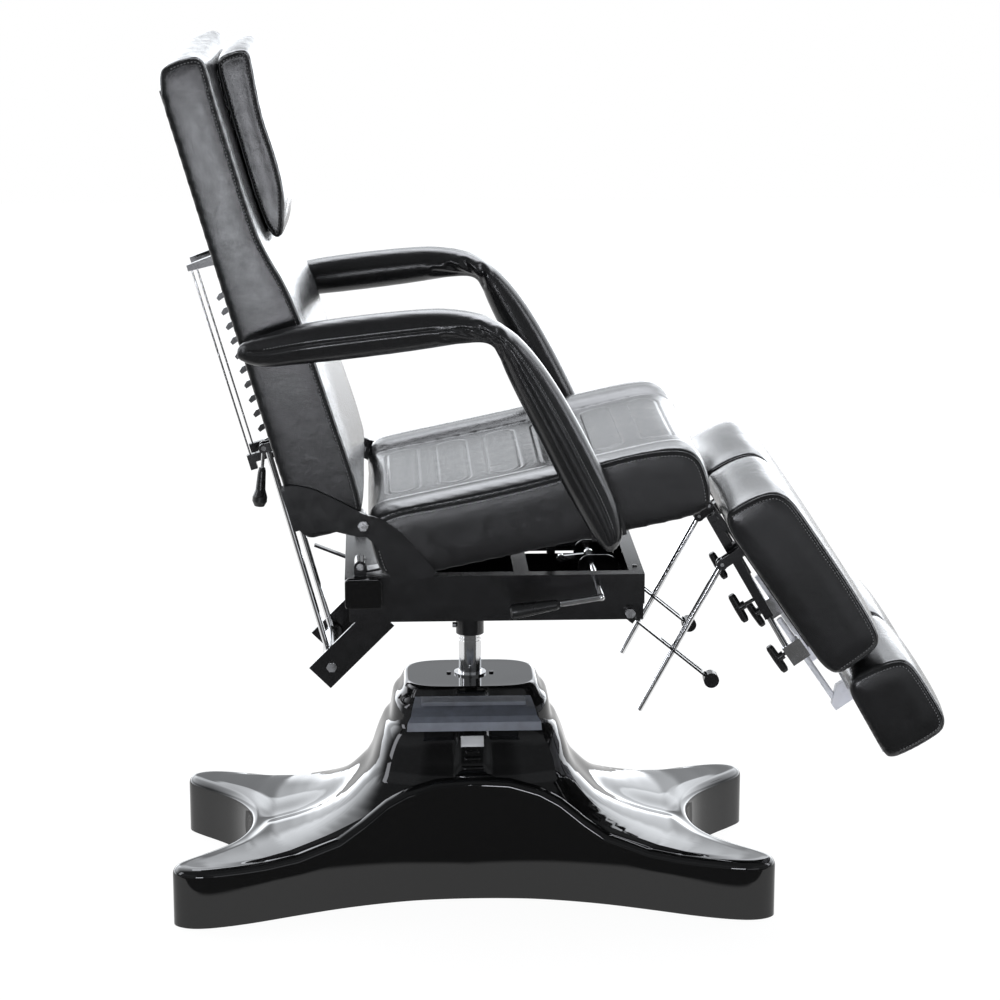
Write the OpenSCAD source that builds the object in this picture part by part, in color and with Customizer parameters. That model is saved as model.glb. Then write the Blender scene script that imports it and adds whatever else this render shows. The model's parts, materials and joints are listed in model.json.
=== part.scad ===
// Hydraulic pedicure chair: pump base, tilting seat, reclining back and two leg rests.
// X runs to the sitter's feet, Y to the sitter's left, Z up; the column is the Z axis, the floor is z = 0.

/* [Base] */
// Length of the base cover along X
base_len = 990; // [900:5:1060]
// Width of the base cover over its feet
base_w = 526; // [480:2:580]
// Height of the cover at the feet
foot_h = 100; // [85:1:115]
// Height of the hub of the cover
hub_z = 352; // [335:1:370]
// Length of the hub at its top
hub_len = 210; // [190:2:230]
// Width of the hub at its top
hub_w = 156; // [140:2:176]
// Wall of the plastic cover
cover_wall = 6; // [4:0.5:8]
// Thickness of the steel base plate
plate_t = 8; // [6:1:12]
// Width of the plate's arms
plate_arm_w = 50; // [36:1:60]
// Diameter of a rubber foot pad
foot_pad_d = 40; // [30:1:46]

/* [Pump and column] */
// Diameter of the pump body
pump_d = 104; // [90:1:116]
// Diameter of the piston
piston_d = 38; // [34:0.5:42]
// Piston shown between the hub and the collar
piston_shown = 71; // [66:1:90]
// Diameter of the collar
collar_d = 47; // [44:0.5:60]
// Height of the collar under the chassis
collar_h = 61; // [50:1:70]
// Width of the pedal pad at its front edge
pedal_w = 228; // [200:2:250]

/* [Chassis] */
// Lower channel ahead of the lock levers' bolts
channel_nose = 22; // [18:1:40]
// Distance from a side of the lower channel to the leg prop rod beside it
channel_to_rod = 19; // [17:0.5:24]
// Height of the lower channel
channel_h = 37; // [32:1:42]
// Length of the tray frame ahead of the rear tube
tray_len = 425; // [410:1:440]
// Width of the tray frame
tray_w = 380; // [360:2:388]
// Height of the rails
rail_h = 50; // [46:1:56]
// Width of the rails
rail_w = 24; // [20:1:28]
// Wall of the steel channels
steel_t = 4; // [3:0.5:5]
// Depth of the rear cross tube along X
rear_tube_w = 60; // [54:1:64]
// Width of a back prop arm
prop_arm_w = 50; // [40:1:54]
// Length of a back prop arm
prop_arm_len = 150; // [130:1:150]

/* [Seat] */
// Tilt of the seat at rest
seat_tilt = 11.8; // [10:0.1:13]
// Length of the seat cushion
seat_len = 540; // [520:1:545]
// Width of the seat and the back
seat_w = 568; // [556:2:568]
// Thickness of the seat cushion at its sides
seat_th = 114; // [100:1:120]
// Rise of the crown of the seat
seat_crown = 14; // [6:1:20]
// Depth of the stitched channels
channel_depth = 2.4; // [1:0.1:4]
// Number of stitched loops
loops = 6; // [4:1:7]

/* [Back] */
// Lean of the back at rest
back_lean = 16.1; // [12:0.1:20]
// Length of the back cushion
back_len = 770; // [730:2:790]
// Thickness of the back below the shoulders
back_th = 112; // [104:1:116]
// Rise of the crown of the back
back_crown = 9; // [4:1:12]
// Length of the head pillow
pillow_len = 296; // [260:2:300]
// Width of the head pillow
pillow_w = 330; // [300:2:380]
// Thickness of the head pillow
pillow_th = 50; // [40:1:56]
// Spacing of the rack teeth
tooth_pitch = 25; // [22:0.5:28]
// Number of rack teeth
teeth = 11; // [9:1:12]

/* [Armrests] */
// Distance from a side of the seat to the armrest's centre line
arm_out = 50; // [49:1:60]
// Length of an armrest along X
arm_len = 595; // [560:5:610]
// Height of an armrest above its pivot
arm_rise = 322; // [300:2:350]
// Thickness of an armrest pad
arm_d = 64; // [56:1:66]
// Width of an armrest pad
arm_w = 58; // [50:1:60]

/* [Leg rests] */
// Slope of the leg rests below level at rest
leg_slope = 55.5; // [50:0.5:60]
// Length of a calf pad
calf_len = 325; // [300:1:326]
// Width of a calf pad
calf_w = 276; // [260:1:278]
// Thickness of a calf pad
calf_th = 111; // [95:1:116]
// Length of a foot pad
foot_len = 148; // [130:1:160]
// Thickness of a foot pad
foot_th = 116; // [95:1:120]
// Side of the square leg tube
leg_tube = 15; // [15:0.5:18]
// Length of the square leg tube
leg_tube_len = 200; // [190:1:210]
// Diameter of the leg prop rods
rod_d = 10.5; // [8:0.5:11]
// Length of the leg prop rods
rod_len = 288; // [274:1:296]

/* [Hidden] */

// Finish of the curves
$fn = 48;
// Facets of small screws and pins
small_fn = 24;
// Sides of a hexagon head
hex_fn = 6;

// Clearances
fit = 0.1; // between pieces that run or slide in each other
seat_gap = 0.3; // between soft or flat faces on pieces that move
over = 1; // overrun of a cut past the face it opens
eps = 0.02; // sliver that keeps joined volumes of one piece connected

// Colours
gloss_black = [0.05, 0.05, 0.06];
steel_black = [0.12, 0.12, 0.13];
vinyl_black = [0.09, 0.09, 0.10];
chrome = [0.80, 0.81, 0.84];
rubber_grey = [0.30, 0.31, 0.34];
wood = [0.72, 0.62, 0.50];

// Heights and places of the chassis
channel_z = hub_z + piston_shown + collar_h;
tray_z = channel_z + channel_h;
tray_top = tray_z + rail_h;
channel_x0 = -201; // rear end of the lower channel
tray_x0 = -148; // rear end of the tray, which meets the rear tube
tray_x1 = tray_x0 + tray_len;
rear_tube_x0 = tray_x0 - rear_tube_w;
tube_out = 3; // rear tube beyond each rail
cross_bar_x = 66; // rear edge of the flat bar across the tray
cross_bar_t = 6;

// Pump parts
pump_bore_z = 45; // floor of the pump's bore
piston_foot_z = 115; // lower end of the piston at rest
pump_shoulder = 52; // length of the pump's neck
pump_neck_d = 74;
collar_wall_top = 6; // closed top of the socket
socket_flange_d = 110;
gland_d = 54;
gland_h = 3;
gland_neck_d = 50;
cover_bore_d = 52;
groove_d = 2; // depth of the piston's grooves
groove_w = 2;
cover_rim_z = 1;

// Pedal
pedal_pivot_y = -66;
pedal_pivot_z = 300;
pedal_pin_d = 12;
pedal_pin_len = 44;
pedal_eye_d = 26;
pedal_arm_w = 20;
pedal_slot_w = 30;
pedal_slot_z0 = 276;
pedal_slot_z1 = 334;
pedal_top_w = 190;

// Base outline, one quarter, as shares of half the length and half the width
base_outline_shares = [[0, 0.540], [0.150, 0.552], [0.300, 0.600], [0.450, 0.700], [0.600, 0.815],
    [0.745, 0.925], [0.880, 1.000], [0.975, 1.000], [1.000, 0.930], [1.000, 0.780], [0.900, 0.640],
    [0.810, 0.440], [0.765, 0.220], [0.755, 0]];
// Height of the arms over the foot height, against distance from the hub in hub sizes
sweep_shares = [[1.00, 1.00], [1.08, 0.87], [1.17, 0.62], [1.33, 0.44], [1.50, 0.31], [1.73, 0.20],
    [1.95, 0.13], [2.39, 0.04], [3.00, 0.01], [3.60, 0]];
hub_foot_len = hub_len * 1.4; // length of the hub where the arms meet it
hub_foot_w = hub_w * 1.56;
hub_foot_z = hub_z * 0.767;
hub_power = 4; // squareness of the hub
// Rings of the hub: length share, width share and height share of the hub's top
hub_ring_shares = [[1.30, 1.43, 0.805], [1.25, 1.36, 0.903], [1.14, 1.22, 0.946], [1.08, 1.11, 0.980],
    [1.00, 1.00, 0.997], [0.88, 0.86, 1.00]];
edge_r = 12; // rounding of the cover's edges
valley_depth = 9; // dip between the two arms of an end
valley_w = 42;

// Seat frame places, in the seat's own frame
seat_x = -144; // rear lower edge of the seat
seat_up = 9; // that edge above the tray
seat_z = tray_top + seat_up;
pivot_back = 39; // tilt hinge behind that edge
pivot_up = 6; // and above it
pivot_x = seat_x - pivot_back;
pivot_z = seat_z + pivot_up;
hinge_in = 27.5; // middle of a tilt hinge inside the rail's outer face
hinge_y = tray_w / 2 - hinge_in;
strap_w = 35;
strap_t = 5;
barrel_d = 20;
barrel_len = 35;
hinge_pin_d = 12;
lug_t = 5.7;
board_t = 12;
board_inset = 12;
board_front = 16; // further back at the front, above the leg hinges
piping = 8; // rounding of the cushion's sides
side_draw = 3; // how far the sides are drawn in
knuckle_d = 12;
knuckle_pin_d = 6;
pin_out = 2; // pin beyond its knuckles
leg_hinge_in = 6.42; // leg hinge behind the cushion's front, along the seat
leg_hinge_drop = 8.29; // and below the seat's underside
leg_hinge_seat = [seat_len - leg_hinge_in, -leg_hinge_drop];
leg_hinge_x = seat_x + leg_hinge_seat.x * cos(seat_tilt) - leg_hinge_seat.y * sin(seat_tilt);
leg_hinge_z = seat_z + leg_hinge_seat.x * sin(seat_tilt) + leg_hinge_seat.y * cos(seat_tilt);
knuckle_w = 11;
plate_metal = 4; // thickness of the fan plates

// Tilt crank
shaft_x = 200;
shaft_up = 35; // lever shaft above the foot of the tray's rails
shaft_z = tray_z + shaft_up;
shaft_d = 12;
shaft_out_y = -275;
shaft_in_y = 62;
shoe_gap = 3.3; // between the brake shoe and the strut at rest
shoe_d = 14;
shoe_slope = 6; // the shoe lies a little below the shaft
shoe_y = -6.5;
shoe_t = 8;
strut_len = 70;
strut_w = 14;
strut_t = 11;
strut_y = -8;
strut_eye_d = 18;
strut_pin_d = 9;
strut_top_x = 136;
strut_up = 48; // strut's pin above the rear lower edge of the seat
strut_top_z = seat_z + strut_up;
grip_len = 78;

// Back places
back_x = -279; // rear lower edge of the back
back_up = 85; // lower edge of the back above that of the seat
back_z = seat_z + back_up;
back_pivot_x = -177;
back_pivot_up = 101; // recline hinge above the seat's rear edge
back_pivot_z = seat_z + back_pivot_up;
rack_y = 70;
rack_w = 12;
rack_base_t = 5;
rack_depth = 31;
tooth_foot = 3;
rack_s0 = 88; // lower end of the rack along the back
wire_y = 45;
wire_t = 58;
wire_d = 3.4;
wire_s0 = 93;
wire_s1 = 424;
handle_y = -118;
handle_s = 118;
handle_t = 26;
handle_hang = -21.4; // the handle hangs almost upright
handle_pin_d = 8;
handle_pin_len = 26;
handle_neck = 34;
handle_neck_d = 6;
handle_ear_t = 4;

// Back prop
prop_x = -232;
prop_down = 86; // prop axle below the lower channel
prop_z = channel_z - prop_down;
prop_end_s = 100.6; // end of the prop in the rack, along the back
prop_end_t = 24; // and behind the back's board
prop_end_x = back_x - prop_end_s * sin(back_lean) - prop_end_t * cos(back_lean);
prop_end_z = back_z + prop_end_s * cos(back_lean) - prop_end_t * sin(back_lean);
prop_len = norm([prop_end_x - prop_x, prop_end_z - prop_z]);
prop_angle = atan2(prop_x - prop_end_x, prop_end_z - prop_z); // lean of the prop rods at rest
prop_rod_d = 10;
prop_rod_y = 87;
prop_arm_y = 104;
prop_arm_t = 6;
prop_axle_d = 25;
prop_sleeve_d = 32;

// Armrest places
arm_span = seat_w + 2 * arm_out;
stud_inset = 5; // boss short of the pad's centre line
stud_wall = 2;
stud_short = 1;
arm_x = 206;
arm_up = 100; // armrest pivot above the seat's rear edge
arm_z = seat_z + arm_up;
stud_d = 28;
stud_pin_d = 12;
// Path of an armrest's centre line, as shares of its length and rise
arm_path_shares = [[-0.990, 0.854], [-0.926, 0.904], [-0.672, 0.960], [-0.447, 1.000], [-0.326, 0.963],
    [-0.262, 0.870], [-0.158, 0.584], [-0.081, 0.320], [-0.027, 0.112], [0.015, -0.050]];
// Thickness along that path, as shares of the full thickness
arm_thickness_shares = [[0, 0.16], [0.02, 0.44], [0.06, 0.81], [0.13, 0.97], [0.55, 1], [0.66, 0.91],
    [0.90, 0.85], [0.975, 0.75], [1, 0.25]];

// Leg rest places, in the frame of a leg rest
leg_y = 146; // middle of a calf pad
tube_in = 22.5; // leg tube inside the middle of its strap
tube_y = hinge_y - tube_in;
tube_a = 25;
tube_up = -8;
tube_slope = 4.6;
leg_rod_bore_d = 10;
pad_up = 6.5; // underside of the calf pad above the hinge
pad_a = 1;
rod_out = 6.5; // leg prop rod outside the middle of the strap
rod_y = hinge_y + rod_out;
channel_w = 2 * (rod_y - channel_to_rod);
rod_a = 96;
rod_up = -36.8;
rod_pin_d = 6;
clevis_t = 3;
clevis_w = 18;
hanger_len = 22; // blocks that carry the leg tube
hanger_drop = 5;
hanger_shift = 2; // hangers stand off the tube's side face
block_over = 2; // clamp block beyond the tube's width
block_a = 280;
block_len = 36;
slider_up = -12;
slider_len = 185;
slider_a = 236;
foot_a = 345;
foot_up = 20;
foot_slope = 5;
knob_bar = 52;
knob_t = 14;
knob_stem_d = 6;
upper_knob_a = 161;

// Lock levers
lock_back = 123; // lock bolts behind the leg hinges
lock_up = 12; // and above the underside of the lower channel
lock_x = leg_hinge_x - lock_back;
lock_z = channel_z + lock_up;
channel_len = lock_x + channel_nose - channel_x0;
lock_slope = 39.6; // lever below level at rest
lock_len = 156;
lock_t = 3;
lock_w = 30;
lock_slot0 = 64;
lock_slot1 = 151;
lock_slot_w = 13;
lock_knob_d = 25;
lock_knob_len = 22;
lock_bolt_d = 10;

cut_share = 0.25; // how much of a corner's sides is cut off
function mix(a, b, t) = a + (b - a) * t;
function cut_corners(p) = [for (i = [0:len(p) - 1]) let (a = p[i], b = p[(i + 1) % len(p)])
    each [mix(a, b, cut_share), mix(a, b, 1 - cut_share)]];
function cut_open(p) = [p[0], for (i = [0:len(p) - 2]) each [mix(p[i], p[i + 1], cut_share),
    mix(p[i], p[i + 1], 1 - cut_share)], p[len(p) - 1]];
function mean(p) = [for (k = [0:2]) [for (q = p) q[k]] * [for (q = p) 1] / len(p)];
function superellipse(a, b, power) = (abs(a) ^ power + abs(b) ^ power) ^ (1 / power);

// Closed skin over rings with the same number of points
module loft(rings) {
    n = len(rings[0]);
    m = len(rings);
    points = [for (r = rings) each r, mean(rings[0]), mean(rings[m - 1])];
    sides = [for (i = [0:m - 2], j = [0:n - 1]) let (a = i * n + j, b = i * n + (j + 1) % n)
        each [[a, b, b + n], [a, b + n, a + n]]];
    ends = [for (j = [0:n - 1]) each [[(j + 1) % n, j, m * n],
        [(m - 1) * n + j, (m - 1) * n + (j + 1) % n, m * n + 1]]];
    polyhedron(points, concat(sides, ends), convexity = 6);
}

module both() {
    children();
    mirror([0, 1, 0]) children();
}

module on_side(right) {
    mirror([0, right ? 1 : 0, 0]) children();
}

module along_y(d, y0, y1, fn = 48) {
    translate([0, y0, 0]) rotate([-90, 0, 0]) cylinder(d = d, h = y1 - y0, $fn = fn);
}

// A plate cut from the X-Z outline between two Y values
module plate_y(y0, y1) {
    translate([0, y1, 0]) rotate([90, 0, 0]) linear_extrude(y1 - y0) children();
}

// Bolt along Y: shank from y0 to y1 with a hexagon head beyond y1
module bolt_y(d, y0, y1) {
    along_y(d, y0, y1, small_fn);
    along_y(d * 1.8, y1, y1 + d * 0.6, hex_fn);
}

module in_seat() {
    translate([seat_x, 0, seat_z]) rotate([0, -seat_tilt, 0]) children();
}

module in_back() {
    translate([back_x, 0, back_z]) rotate([0, -back_lean, 0]) children();
}

module in_leg() {
    translate([leg_hinge_x, 0, leg_hinge_z]) rotate([0, leg_slope, 0]) children();
}

module in_tube() {
    in_leg() translate([tube_a, tube_y, tube_up]) rotate([0, tube_slope, 0]) children();
}

module in_foot() {
    in_leg() translate([foot_a, 0, foot_up]) rotate([0, foot_slope, 0]) children();
}

// Place of a world point in the frame of the seat or a leg rest
function in_seat_frame(x, z) = [(x - seat_x) * cos(seat_tilt) + (z - seat_z) * sin(seat_tilt),
    (z - seat_z) * cos(seat_tilt) - (x - seat_x) * sin(seat_tilt)];

// Upholstered pad

// Ring of a pad at y: outline is closed in X-Z, drawn in by inset and crowned on top
function pad_ring(outline, y, half_w, inset, crown, draw) = let (
    xs = [for (p = outline) p.x],
    zs = [for (p = outline) p.y],
    cx = (max(xs) + min(xs)) / 2,
    cz = (max(zs) + min(zs)) / 2,
    hx = (max(xs) - min(xs)) / 2,
    hz = (max(zs) - min(zs)) / 2,
    swell = crown * (1 - (y / half_w) ^ 2))
    [for (p = outline) let (
        nx = (p.x - cx) / hx,
        nz = (p.y - cz) / hz,
        bow = 1 - nx ^ 4,
        lift = max(0, nz) * swell * bow)
        [cx + nx * (hx - inset), y * (1 - draw / half_w * bow), cz + nz * (hz - inset) + lift]];

// Stations across a pad as shares of its half width, and how far each is drawn in, in pipings
pad_station_shares = [[-1, 1.0], [-0.992, 0.55], [-0.975, 0.18], [-0.94, 0], [-0.7, 0], [-0.42, 0],
    [-0.14, 0], [0.14, 0], [0.42, 0], [0.7, 0], [0.94, 0], [0.975, 0.18], [0.992, 0.55], [1, 1.0]];

module pad(outline, width, crown, round_by, draw = side_draw) {
    loft([for (s = pad_station_shares)
        pad_ring(outline, s[0] * width / 2, width / 2, s[1] * round_by, crown, draw)]);
}

function sized(shares, length, height) = [for (p = shares) [p[0] * length, p[1] * height]];

// Base

function base_outline() = let (
    quarter = [for (p = base_outline_shares) [p[0] * base_len / 2, p[1] * base_w / 2]],
    last = len(quarter) - 1,
    half = concat(quarter, [for (i = [last - 1:-1:0]) [quarter[i].x, -quarter[i].y]]),
    full = concat(half, [for (i = [len(half) - 2:-1:1]) [-half[i].x, half[i].y]]))
    cut_corners(full);

// Point of the hub's outline in the direction of p
function hub_point(p, length, width) = let (
    n = superellipse(p.x / length * 2, p.y / width * 2, hub_power)) [p.x / n, p.y / n];

// Height of the cover over a plan point
function cover_z(p) = let (
    n = superellipse(p.x / hub_foot_len * 2, p.y / hub_foot_w * 2, hub_power),
    away = min(1, max(0, (abs(p.x) - hub_foot_len / 2) / (hub_foot_len / 2))))
    foot_h + (hub_foot_z - foot_h) * lookup(n, sweep_shares)
    - valley_depth * exp(-(p.y / valley_w) ^ 2) * away;

function ring_at(outline, share, drop) = [for (p = outline) let (
    q = hub_point(p, hub_foot_len, hub_foot_w),
    m = mix(p, q, share)) [m.x, m.y, cover_z(m) - drop]];

function inward(p, by) = p * (1 - by / norm(p));

cover_sweep_shares = [0.07, 0.16, 0.28, 0.42, 0.56, 0.70, 0.83, 0.93, 1];

function cover_rings(outline, by) = let (
    shrunk = [for (p = outline) inward(p, by)])
    [[for (p = shrunk) [p.x, p.y, cover_rim_z - (by > 0 ? over : 0)]],
        [for (p = shrunk) let (q = inward(p, edge_r / 4)) [q.x, q.y, cover_z(p) - edge_r - by]],
        [for (p = shrunk) let (q = inward(p, edge_r * 0.55)) [q.x, q.y, cover_z(p) - edge_r * 0.35 - by]],
        for (s = cover_sweep_shares) ring_at([for (p = shrunk) inward(p, edge_r)], s, by),
        for (r = hub_ring_shares) [for (p = shrunk) let (
            q = hub_point(p, hub_len * r[0] - by * 2, hub_w * r[1] - by * 2))
            [q.x, q.y, hub_z * r[2] - by]]];

module base_cover() {
    outline = base_outline();
    color(gloss_black) difference() {
        union() {
            loft(cover_rings(outline, 0));
            cover_panel();
        }
        loft(cover_rings(outline, cover_wall));
        translate([0, 0, hub_z - 2 * cover_wall]) cylinder(d = cover_bore_d, h = 3 * cover_wall);
        translate([-pedal_slot_w / 2, -hub_w, pedal_slot_z0])
            cube([pedal_slot_w, hub_w - pump_d / 2, pedal_slot_z1 - pedal_slot_z0]);
        for (x = [-1, 1]) translate([x * screw_x, 0, hub_z - 2 * cover_wall])
            cylinder(d = screw_d + fit, h = 3 * cover_wall, $fn = small_fn);
    }
}
screw_x = 36;
screw_d = 4;
tray_bolt_y = hinge_y - strap_w / 2 - screw_d * 2; // beside the seat's straps, which come down to the tray

// Raised panel with rungs below the pedal; its label place is bare
panel_w = 56;
panel_proud = 3;
rung_h = 5;
module cover_panel() {
    front = -base_outline_shares[0][1] * base_w / 2;
    top_y = -hub_w * 0.72;
    z0 = hub_foot_z * 0.78;
    z1 = pedal_slot_z0;
    profile = [[front - panel_proud, z0], [mix(front, top_y, 0.55) - panel_proud, mix(z0, z1, 0.75)],
        [top_y - panel_proud, z1], [top_y + cover_wall, z1], [front + 2 * cover_wall, z0]];
    difference() {
        translate([-panel_w / 2, 0, 0]) rotate([90, 0, 90]) linear_extrude(panel_w) polygon(profile);
        for (i = [0:2]) translate([-panel_w / 3, front - 2 * panel_proud, z0 + rung_h + i * 2 * rung_h])
            cube([panel_w * 2 / 3, 2 * panel_proud, rung_h]);
    }
}

module base_plate() {
    reach = [base_len * 0.425, base_w * 0.40];
    turn = atan2(reach.y, reach.x);
    color(steel_black) difference() {
        union() {
            cylinder(d = pump_d * 1.8, h = plate_t);
            for (s = [-1, 1]) rotate([0, 0, s * turn]) {
                translate([-norm(reach), -plate_arm_w / 2, 0])
                    cube([2 * norm(reach), plate_arm_w, plate_t]);
                for (e = [-1, 1]) translate([e * norm(reach), 0, 0]) cylinder(d = plate_arm_w, h = plate_t);
            }
        }
        foot_places() translate([0, 0, -over]) cylinder(d = foot_pad_d, h = plate_t + 2 * over);
    }
}

module foot_places() {
    reach = [base_len * 0.425, base_w * 0.40];
    for (sx = [-1, 1], sy = [-1, 1]) translate([sx * reach.x, sy * reach.y, 0]) children();
}

module foot_pads() {
    color(rubber_grey) foot_places() {
        cylinder(d = foot_pad_d, h = plate_t);
        translate([0, 0, plate_t]) cylinder(d = foot_pad_d * 0.8, h = steel_t);
    }
}

module pump_body() {
    top = hub_z - cover_wall;
    color(steel_black) difference() {
        union() {
            translate([0, 0, plate_t]) cylinder(d = pump_d, h = top - pump_shoulder - plate_t);
            translate([0, 0, top - pump_shoulder - eps]) cylinder(d = pump_neck_d, h = pump_shoulder + eps);
            for (s = [-1, 1]) translate([s * (pedal_arm_w / 2 + fit) + (s < 0 ? -plate_t : 0),
                pedal_pivot_y - pedal_eye_d / 2, pedal_pivot_z - pedal_eye_d])
                cube([plate_t, pedal_eye_d * 1.6, pedal_eye_d * 1.5]);
        }
        translate([0, 0, pump_bore_z]) cylinder(d = piston_d + fit, h = top);
        translate([-pedal_pin_len / 2 - over, pedal_pivot_y, pedal_pivot_z]) rotate([0, 90, 0])
            cylinder(d = pedal_pin_d, h = pedal_pin_len + 2 * over);
    }
}

module guide_collar() {
    low = hub_z - cover_wall;
    color(chrome) difference() {
        union() {
            translate([0, 0, low]) cylinder(d = gland_neck_d, h = cover_wall);
            translate([0, 0, hub_z]) cylinder(d = gland_d, h = gland_h);
        }
        translate([0, 0, low - over]) cylinder(d = piston_d + fit, h = cover_wall + gland_h + 2 * over);
    }
}

module cover_screws() {
    color(steel_black) for (x = [-1, 1]) translate([x * screw_x, 0, 0]) {
        translate([0, 0, hub_z - cover_wall]) cylinder(d = screw_d, h = cover_wall + eps, $fn = small_fn);
        translate([0, 0, hub_z]) cylinder(d = screw_d * 2, h = screw_d * 0.6, $fn = small_fn);
    }
}

module pedal_pin() {
    color(chrome) translate([-pedal_pin_len / 2, pedal_pivot_y, pedal_pivot_z]) rotate([0, 90, 0])
        cylinder(d = pedal_pin_d - fit, h = pedal_pin_len);
}

// Pedal pad as a bent plate in Y-Z, as offsets from the pedal's pivot
pedal_back = -69; // rear edge of the pad
pedal_front = -141; // front edge of the pad
pedal_top = 52; // rear edge above the pivot
pedal_low = 15; // front edge above the pivot
pedal_t = 8;

module pedal_arm() {
    color(steel_black) translate([0, pedal_pivot_y, pedal_pivot_z]) difference() {
        translate([-pedal_arm_w / 2, 0, 0]) rotate([90, 0, 90]) linear_extrude(pedal_arm_w) {
            circle(d = pedal_eye_d);
            polygon([[0, -pedal_eye_d / 4], [0, pedal_eye_d / 2], [pedal_back, pedal_top - pedal_t],
                [mix(pedal_back, pedal_front, 0.55), pedal_top - pedal_t * 1.9],
                [mix(pedal_back, pedal_front, 0.55), pedal_top - pedal_t * 3.4],
                [pedal_back, pedal_top - pedal_t * 3]]);
        }
        translate([-pedal_arm_w, 0, 0]) rotate([0, 90, 0]) cylinder(d = pedal_pin_d, h = 2 * pedal_arm_w);
    }
}

module pedal_pad() {
    mid = mix(pedal_back, pedal_front, 0.55);
    nose = mix(pedal_back, pedal_front, 0.88);
    profile = [[pedal_back, pedal_top], [mid, pedal_top - pedal_t * 0.9], [nose, pedal_top - pedal_t * 1.9],
        [pedal_front, mix(pedal_top, pedal_low, 0.62)], [pedal_front - pedal_t / 4, pedal_low],
        [pedal_front + pedal_t / 2, pedal_low], [nose + pedal_t * 0.4, pedal_top - pedal_t * 2.9],
        [mid, pedal_top - pedal_t * 1.9], [pedal_back, pedal_top - pedal_t]];
    color(rubber_grey) translate([0, pedal_pivot_y, pedal_pivot_z]) intersection() {
        union() {
            translate([-pedal_w / 2, 0, 0]) rotate([90, 0, 90]) linear_extrude(pedal_w) polygon(profile);
            for (i = [1:6]) let (y = mix(pedal_back, mid, i / 7))
                translate([-pedal_top_w * 0.45, y, pedal_top - pedal_t * 0.9])
                    cube([pedal_top_w * 0.9, pedal_t / 4, pedal_t * 0.9]);
        }
        linear_extrude(pedal_top * 3, center = true) polygon([[-pedal_top_w / 2, pedal_back + over],
            [pedal_top_w / 2, pedal_back + over], [pedal_top_w / 2 + pedal_t, nose],
            [pedal_w / 2, pedal_front - pedal_t],
            [-pedal_w / 2, pedal_front - pedal_t], [-pedal_top_w / 2 - pedal_t, nose]]);
    }
}

module piston() {
    top = channel_z - collar_wall_top;
    color(chrome) difference() {
        translate([0, 0, piston_foot_z]) cylinder(d = piston_d, h = top - piston_foot_z);
        for (i = [0:1]) translate([0, 0, channel_z - collar_h - groove_w * (3 + 3 * i)]) difference() {
            cylinder(d = piston_d + over, h = groove_w);
            translate([0, 0, -over]) cylinder(d = piston_d - groove_d, h = groove_w + 2 * over);
        }
    }
}

// Chassis

module spindle_socket() {
    color(steel_black) difference() {
        union() {
            translate([0, 0, channel_z - collar_h]) cylinder(d = collar_d, h = collar_h);
            translate([0, 0, channel_z - collar_wall_top])
                cylinder(d = socket_flange_d, h = collar_wall_top);
        }
        translate([0, 0, channel_z - collar_h - over])
            cylinder(d = piston_d + fit, h = collar_h - collar_wall_top + over);
        translate([-collar_d, 0, channel_z - collar_h * 0.78]) rotate([0, 90, 0])
            cylinder(d = set_screw_d, h = collar_d - piston_d / 2, $fn = small_fn);
    }
}
set_screw_d = 6;
floor_bolt_d = 10;
floor_bolt_x = -97;
floor_bolt_y = 66;

module lower_channel() {
    color(steel_black) difference() {
        translate([channel_x0, -channel_w / 2, channel_z]) cube([channel_len, channel_w, channel_h]);
        translate([channel_x0 - over, -channel_w / 2 + steel_t, channel_z + steel_t])
            cube([channel_len + 2 * over, channel_w - 2 * steel_t, channel_h]);
        for (s = [-1, 1]) translate([floor_bolt_x, s * floor_bolt_y, channel_z - over])
            cylinder(d = floor_bolt_d, h = steel_t + 2 * over, $fn = small_fn);
        translate([lock_x, 0, lock_z])
            along_y(lock_bolt_d, -channel_w / 2 - over, channel_w / 2 + over, small_fn);
    }
}

module rail_x(x0, x1, y_out) {
    inner = y_out > 0 ? y_out - rail_w : y_out;
    open_y = y_out > 0 ? inner - over : inner + steel_t;
    difference() {
        translate([x0, inner, tray_z]) cube([x1 - x0, rail_w, rail_h]);
        translate([x0 - over, open_y, tray_z + steel_t])
            cube([x1 - x0 + 2 * over, rail_w - steel_t + over, rail_h - 2 * steel_t]);
    }
}

module tray_frame() {
    color(steel_black) difference() {
        union() {
            rail_x(tray_x0, tray_x1 - rail_w + eps, tray_w / 2);
            rail_x(tray_x0, tray_x1 - rail_w + eps, -tray_w / 2);
            difference() {
                translate([tray_x1 - rail_w, -tray_w / 2, tray_z]) cube([rail_w, tray_w, rail_h]);
                translate([tray_x1 - rail_w - over, -tray_w / 2 + steel_t, tray_z + steel_t])
                    cube([rail_w - steel_t + over, tray_w - 2 * steel_t, rail_h - 2 * steel_t]);
            }
            translate([cross_bar_x, -tray_w / 2 + eps, tray_top - cross_bar_t])
                cube([rail_w, tray_w - 2 * eps, cross_bar_t]);
        }
        translate([shaft_x, 0, shaft_z])
            along_y(shaft_d + fit, -tray_w / 2 - over, -tray_w / 2 + rail_w + over);
        for (s = [-1, 1]) translate([tray_x1 - rail_w / 2, s * tray_bolt_y, tray_top - steel_t - over])
            cylinder(d = screw_d, h = steel_t + 2 * over, $fn = small_fn);
    }
}

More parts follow.
